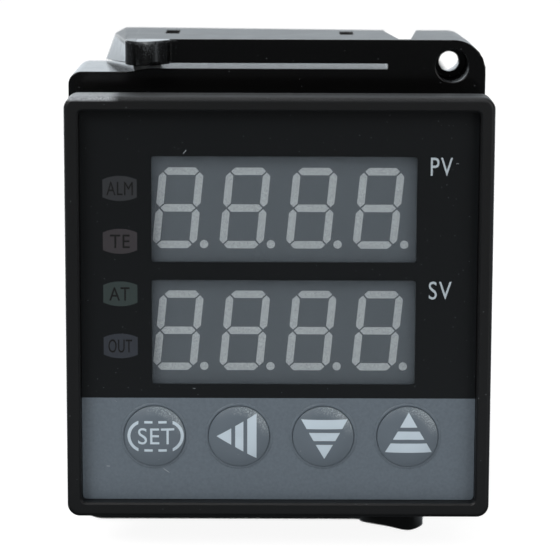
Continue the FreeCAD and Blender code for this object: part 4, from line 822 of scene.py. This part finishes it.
class CONTROLLER_OT_keys(bpy.types.Operator):
    """Dress the keys and print their symbols"""
    bl_idname = "controller.keys"
    bl_label = "Keys"

    def execute(self, context):
        settings = context.scene.controller_front
        film = bpy.data.materials["Reverse-printed polyester"]
        ink = plain_plastic("Pale blue key ink", settings.ink, 0.45)
        # A triangle's direction, the distance of its tip, its height and its base
        symbols = {
            "set": set_symbol(key_centre("key_set", 0.12, 0.07)),
            "shift": barred_triangle("shift_symbol", key_centre("key_shift", 0.0, 0.09),
                                     (-1, 0, 0), 2.54, 4.55, 5.2),
            "down": barred_triangle("down_symbol", key_centre("key_down", 0.13, 0.0),
                                    (0, 0, -1), 2.53, 4.56, 5.28),
            "up": barred_triangle("up_symbol", key_centre("key_up", 0.11, 0.0),
                                  (0, 0, 1), 2.9, 4.65, 5.33),
        }
        for name, symbol in symbols.items():
            centre = key_centre("key_" + name)
            skin = key_skin("Embossed key film, " + name, settings.band, centre)
            key = dressed("key_" + name, skin)
            roll = paint(rolled_edge("key_roll_" + name, centre), film)
            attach(roll, "controller")
            wrap_on(symbol, key, settings.print_thickness)
            paint(symbol, ink)
            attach(symbol, name + "_key")
        return {"FINISHED"}


class CONTROLLER_OT_boards(bpy.types.Operator):
    """Dress the circuit boards, what stands on them and the switches"""
    bl_idname = "controller.boards"
    bl_label = "Boards"

    def execute(self, context):
        mask = solder_mask("Green solder mask", "#0F5326")
        chip = plain_plastic("Moulded epoxy chip case", "#18181A", 0.45)
        nylon = plain_plastic("Black glass-filled nylon", "#161616", 0.6)
        sleeve = plain_plastic("Dark shrink sleeve", "#1C1C24", 0.35)
        finishes = {
            "display_board": mask, "main_board": mask, "power_board": mask,
            "controller_chip": chip, "amplifier_chip": chip, "driver_chip": chip,
            "voltage_regulator": chip, "key_switches": nylon, "left_socket": nylon,
            "right_socket": nylon, "small_capacitors": sleeve, "filter_capacitors": sleeve,
            "output_relay": plain_plastic("Blue relay case", "#1B4E8C", 0.4),
            "alarm_relay": plain_plastic("Blue relay case, second", "#1B4E8C", 0.4),
            "varistor": plain_plastic("Dipped blue varistor coat", "#1F5A8F", 0.35),
            "resistors": plain_plastic("Resistor lacquer", "#B49A6A", 0.4),
            "transformer_winding": plain_plastic("Yellow winding tape", "#C79A1E", 0.4),
            "transformer_core": metal("Lamination steel", "#7C7F84", 0.5),
            "board_headers": metal("Tinned pins", "#D5D5D6", 0.3),
        }
        for node, material in finishes.items():
            paint(frame["nodes"][node], material)
        for name in ("set", "shift", "down", "up"):
            paint(frame["nodes"]["plunger_" + name], nylon)
        return {"FINISHED"}


class CONTROLLER_OT_terminals(bpy.types.Operator):
    """Dress the contacts, washers and screws, and raise the terminal numbers"""
    bl_idname = "controller.terminals"
    bl_label = "Terminals"

    def execute(self, context):
        settings = context.scene.controller_mouldings
        dressed("terminal_contacts", metal("Tin-washed brass", "#C8B27A", 0.35))
        zinc = metal("Zinc-plated steel", "#C9C9C4", 0.32)
        dressed("clamp_washers", zinc)
        dressed("terminal_screws", zinc)
        skin = moulded_abs("Moulded black ABS numerals", settings.bezel_colour)
        screws_low, screws_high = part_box("terminal_screws")
        rows = 6
        screw_head = 5.2 * MM
        pitch = (screws_high[2] - screws_low[2] - screw_head) / (rows - 1) / MM
        rise = 0.06 * MM
        column, half_cap = 3.3, 1.0
        for side in (-1, 1):
            for i in range(rows):
                z = (rows - 1) / 2 * pitch - i * pitch
                text = str(i + 1 + (rows if side > 0 else 0))
                half_width = 0.5 if len(text) == 1 else 1.05
                x = -side * column
                box = (x - half_width, x + half_width, z - half_cap, z + half_cap)
                word = lettering(text, box, 0.0, rise)
                only(word)
                bpy.ops.transform.rotate(value=math.pi, orient_axis="Z", center_override=(0, 0, 0))
                bpy.ops.transform.translate(value=(0, RIDGE_REAR_Y - rise, 0))
                settle(word)
                word.name = "terminal_number_" + text
                paint(word, skin)
                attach(word, "controller")
        return {"FINISHED"}


def lay_paper(settings):
    """White paper under and behind the object."""
    paper = seamless_paper("White seamless paper", settings.room_mirrored)
    paper_size, backdrop_y, floor_gap = 3.0, 1.4, 0.05 * MM
    bpy.ops.mesh.primitive_plane_add(size=paper_size, location=(0, 0, FLOOR_Z - floor_gap))
    floor = settle(bpy.context.object)
    floor.name = "paper_floor"
    bpy.ops.mesh.primitive_plane_add(size=paper_size, rotation=(math.radians(90), 0, 0),
                                     location=(0, backdrop_y, FLOOR_Z + paper_size / 2))
    wall = settle(bpy.context.object)
    wall.name = "paper_backdrop"
    for sheet in (floor, wall):
        paint(sheet, paper)


def hang_lamps():
    """Square lamps that face the origin: name, place and size in metres, and power in watts."""
    lamps = (
        ("key_lamp", (-0.42, -0.50, 0.55), 0.45, 3.6),
        ("fill_lamp", (0.50, -0.55, 0.25), 0.50, 1.6),
        ("top_lamp", (0.0, 0.05, 0.75), 0.55, 1.6),
        ("rim_lamp", (-0.45, 0.55, 0.22), 0.30, 2.0),
    )
    for name, place, size, power in lamps:
        bpy.ops.object.light_add(type="AREA", location=place)
        lamp = bpy.context.object
        lamp.name = name
        lamp.data.size = size
        lamp.data.energy = power
        lamp.rotation_euler = Vector(place).to_track_quat("Z", "Y").to_euler()


def light_room(scene, settings):
    """White where the camera sees it, even light on matt faces, and dark in glossy ones."""
    world = bpy.data.worlds.new("Soft studio")
    scene.world = world
    world.use_nodes = True
    tree = world.node_tree
    tree.nodes.clear()
    rays = add_node(tree, "ShaderNodeLightPath")
    room = ramp_of(tree, rays.outputs["Is Glossy Ray"], 0, 1, settings.room_light, settings.room_mirrored)
    level = maths(tree, "MAXIMUM", room, rays.outputs["Is Camera Ray"])
    sky = add_node(tree, "ShaderNodeBackground", inputs={"Strength": level})
    add_node(tree, "ShaderNodeOutputWorld", inputs={"Surface": sky.outputs[0]})


def place_camera(scene, settings):
    """Camera in front of the object, focused on its bezel."""
    bpy.ops.object.camera_add()
    camera = bpy.context.object
    camera.name = "front_camera"
    camera.data.sensor_width = 36
    camera.data.lens = settings.lens
    camera.data.clip_start = 0.01
    camera.data.clip_end = 20
    camera.data.dof.use_dof = True
    camera.data.dof.focus_object = bpy.data.objects["bezel_dressed"]
    camera.data.dof.aperture_fstop = settings.stop
    p, y, roll = settings.pitch, settings.yaw, settings.roll
    ahead = Vector((-math.sin(y) * math.cos(p), math.cos(y) * math.cos(p), -math.sin(p)))
    right = Vector((math.cos(y), math.sin(y), 0))
    up = right.cross(ahead)
    right, up = (math.cos(roll) * right + math.sin(roll) * up,
                 math.cos(roll) * up - math.sin(roll) * right)
    turn = Matrix((right, up, -ahead)).transposed().to_4x4()
    camera.matrix_world = Matrix.Translation(CAMERA_PLACE) @ turn
    scene.camera = camera


class CONTROLLER_OT_stage(bpy.types.Operator):
    """Set up the paper, lamps, world and camera"""
    bl_idname = "controller.stage"
    bl_label = "Stage"

    def execute(self, context):
        settings = context.scene.controller_stage
        lay_paper(settings)
        hang_lamps()
        light_room(context.scene, settings)
        place_camera(context.scene, settings)
        context.scene.view_settings.view_transform = "Standard"
        return {"FINISHED"}


# ---------------------------------------------------------------- panel
OPERATORS = (
    CONTROLLER_OT_mouldings,
    CONTROLLER_OT_bracket,
    CONTROLLER_OT_film,
    CONTROLLER_OT_displays,
    CONTROLLER_OT_indicators,
    CONTROLLER_OT_legends,
    CONTROLLER_OT_keys,
    CONTROLLER_OT_boards,
    CONTROLLER_OT_terminals,
    CONTROLLER_OT_stage,
)


class CONTROLLER_PT_panel(bpy.types.Panel):
    """Lists the steps and the sizes and colours"""
    bl_idname = "CONTROLLER_PT_panel"
    bl_label = "Temperature controller"
    bl_space_type = "VIEW_3D"
    bl_region_type = "UI"
    bl_category = "Controller"

    def draw(self, context):
        for group in ("controller_front", "controller_mouldings", "controller_stage"):
            settings = getattr(context.scene, group)
            for name in settings.bl_rna.properties.keys():
                if name not in ("rna_type", "name"):
                    self.layout.prop(settings, name)
        for operator in OPERATORS:
            self.layout.operator(operator.bl_idname)


CLASSES = (FrontSettings, MouldingSettings, StageSettings, *OPERATORS, CONTROLLER_PT_panel)


def register():
    """Registers the classes and their settings."""
    for cls in CLASSES:
        bpy.utils.register_class(cls)
    bpy.types.Scene.controller_front = bpy.props.PointerProperty(type=FrontSettings)
    bpy.types.Scene.controller_mouldings = bpy.props.PointerProperty(type=MouldingSettings)
    bpy.types.Scene.controller_stage = bpy.props.PointerProperty(type=StageSettings)


def unregister():
    """Removes the settings and the classes."""
    del bpy.types.Scene.controller_stage
    del bpy.types.Scene.controller_mouldings
    del bpy.types.Scene.controller_front
    for cls in reversed(CLASSES):
        bpy.utils.unregister_class(cls)


def main():
    """Builds the scene."""
    register()
    bpy.ops.controller.mouldings()
    bpy.ops.controller.bracket()
    bpy.ops.controller.film()
    bpy.ops.controller.displays()
    bpy.ops.controller.indicators()
    bpy.ops.controller.legends()
    bpy.ops.controller.keys()
    bpy.ops.controller.boards()
    bpy.ops.controller.terminals()
    bpy.ops.controller.stage()


if __name__ == "__main__":
    main()
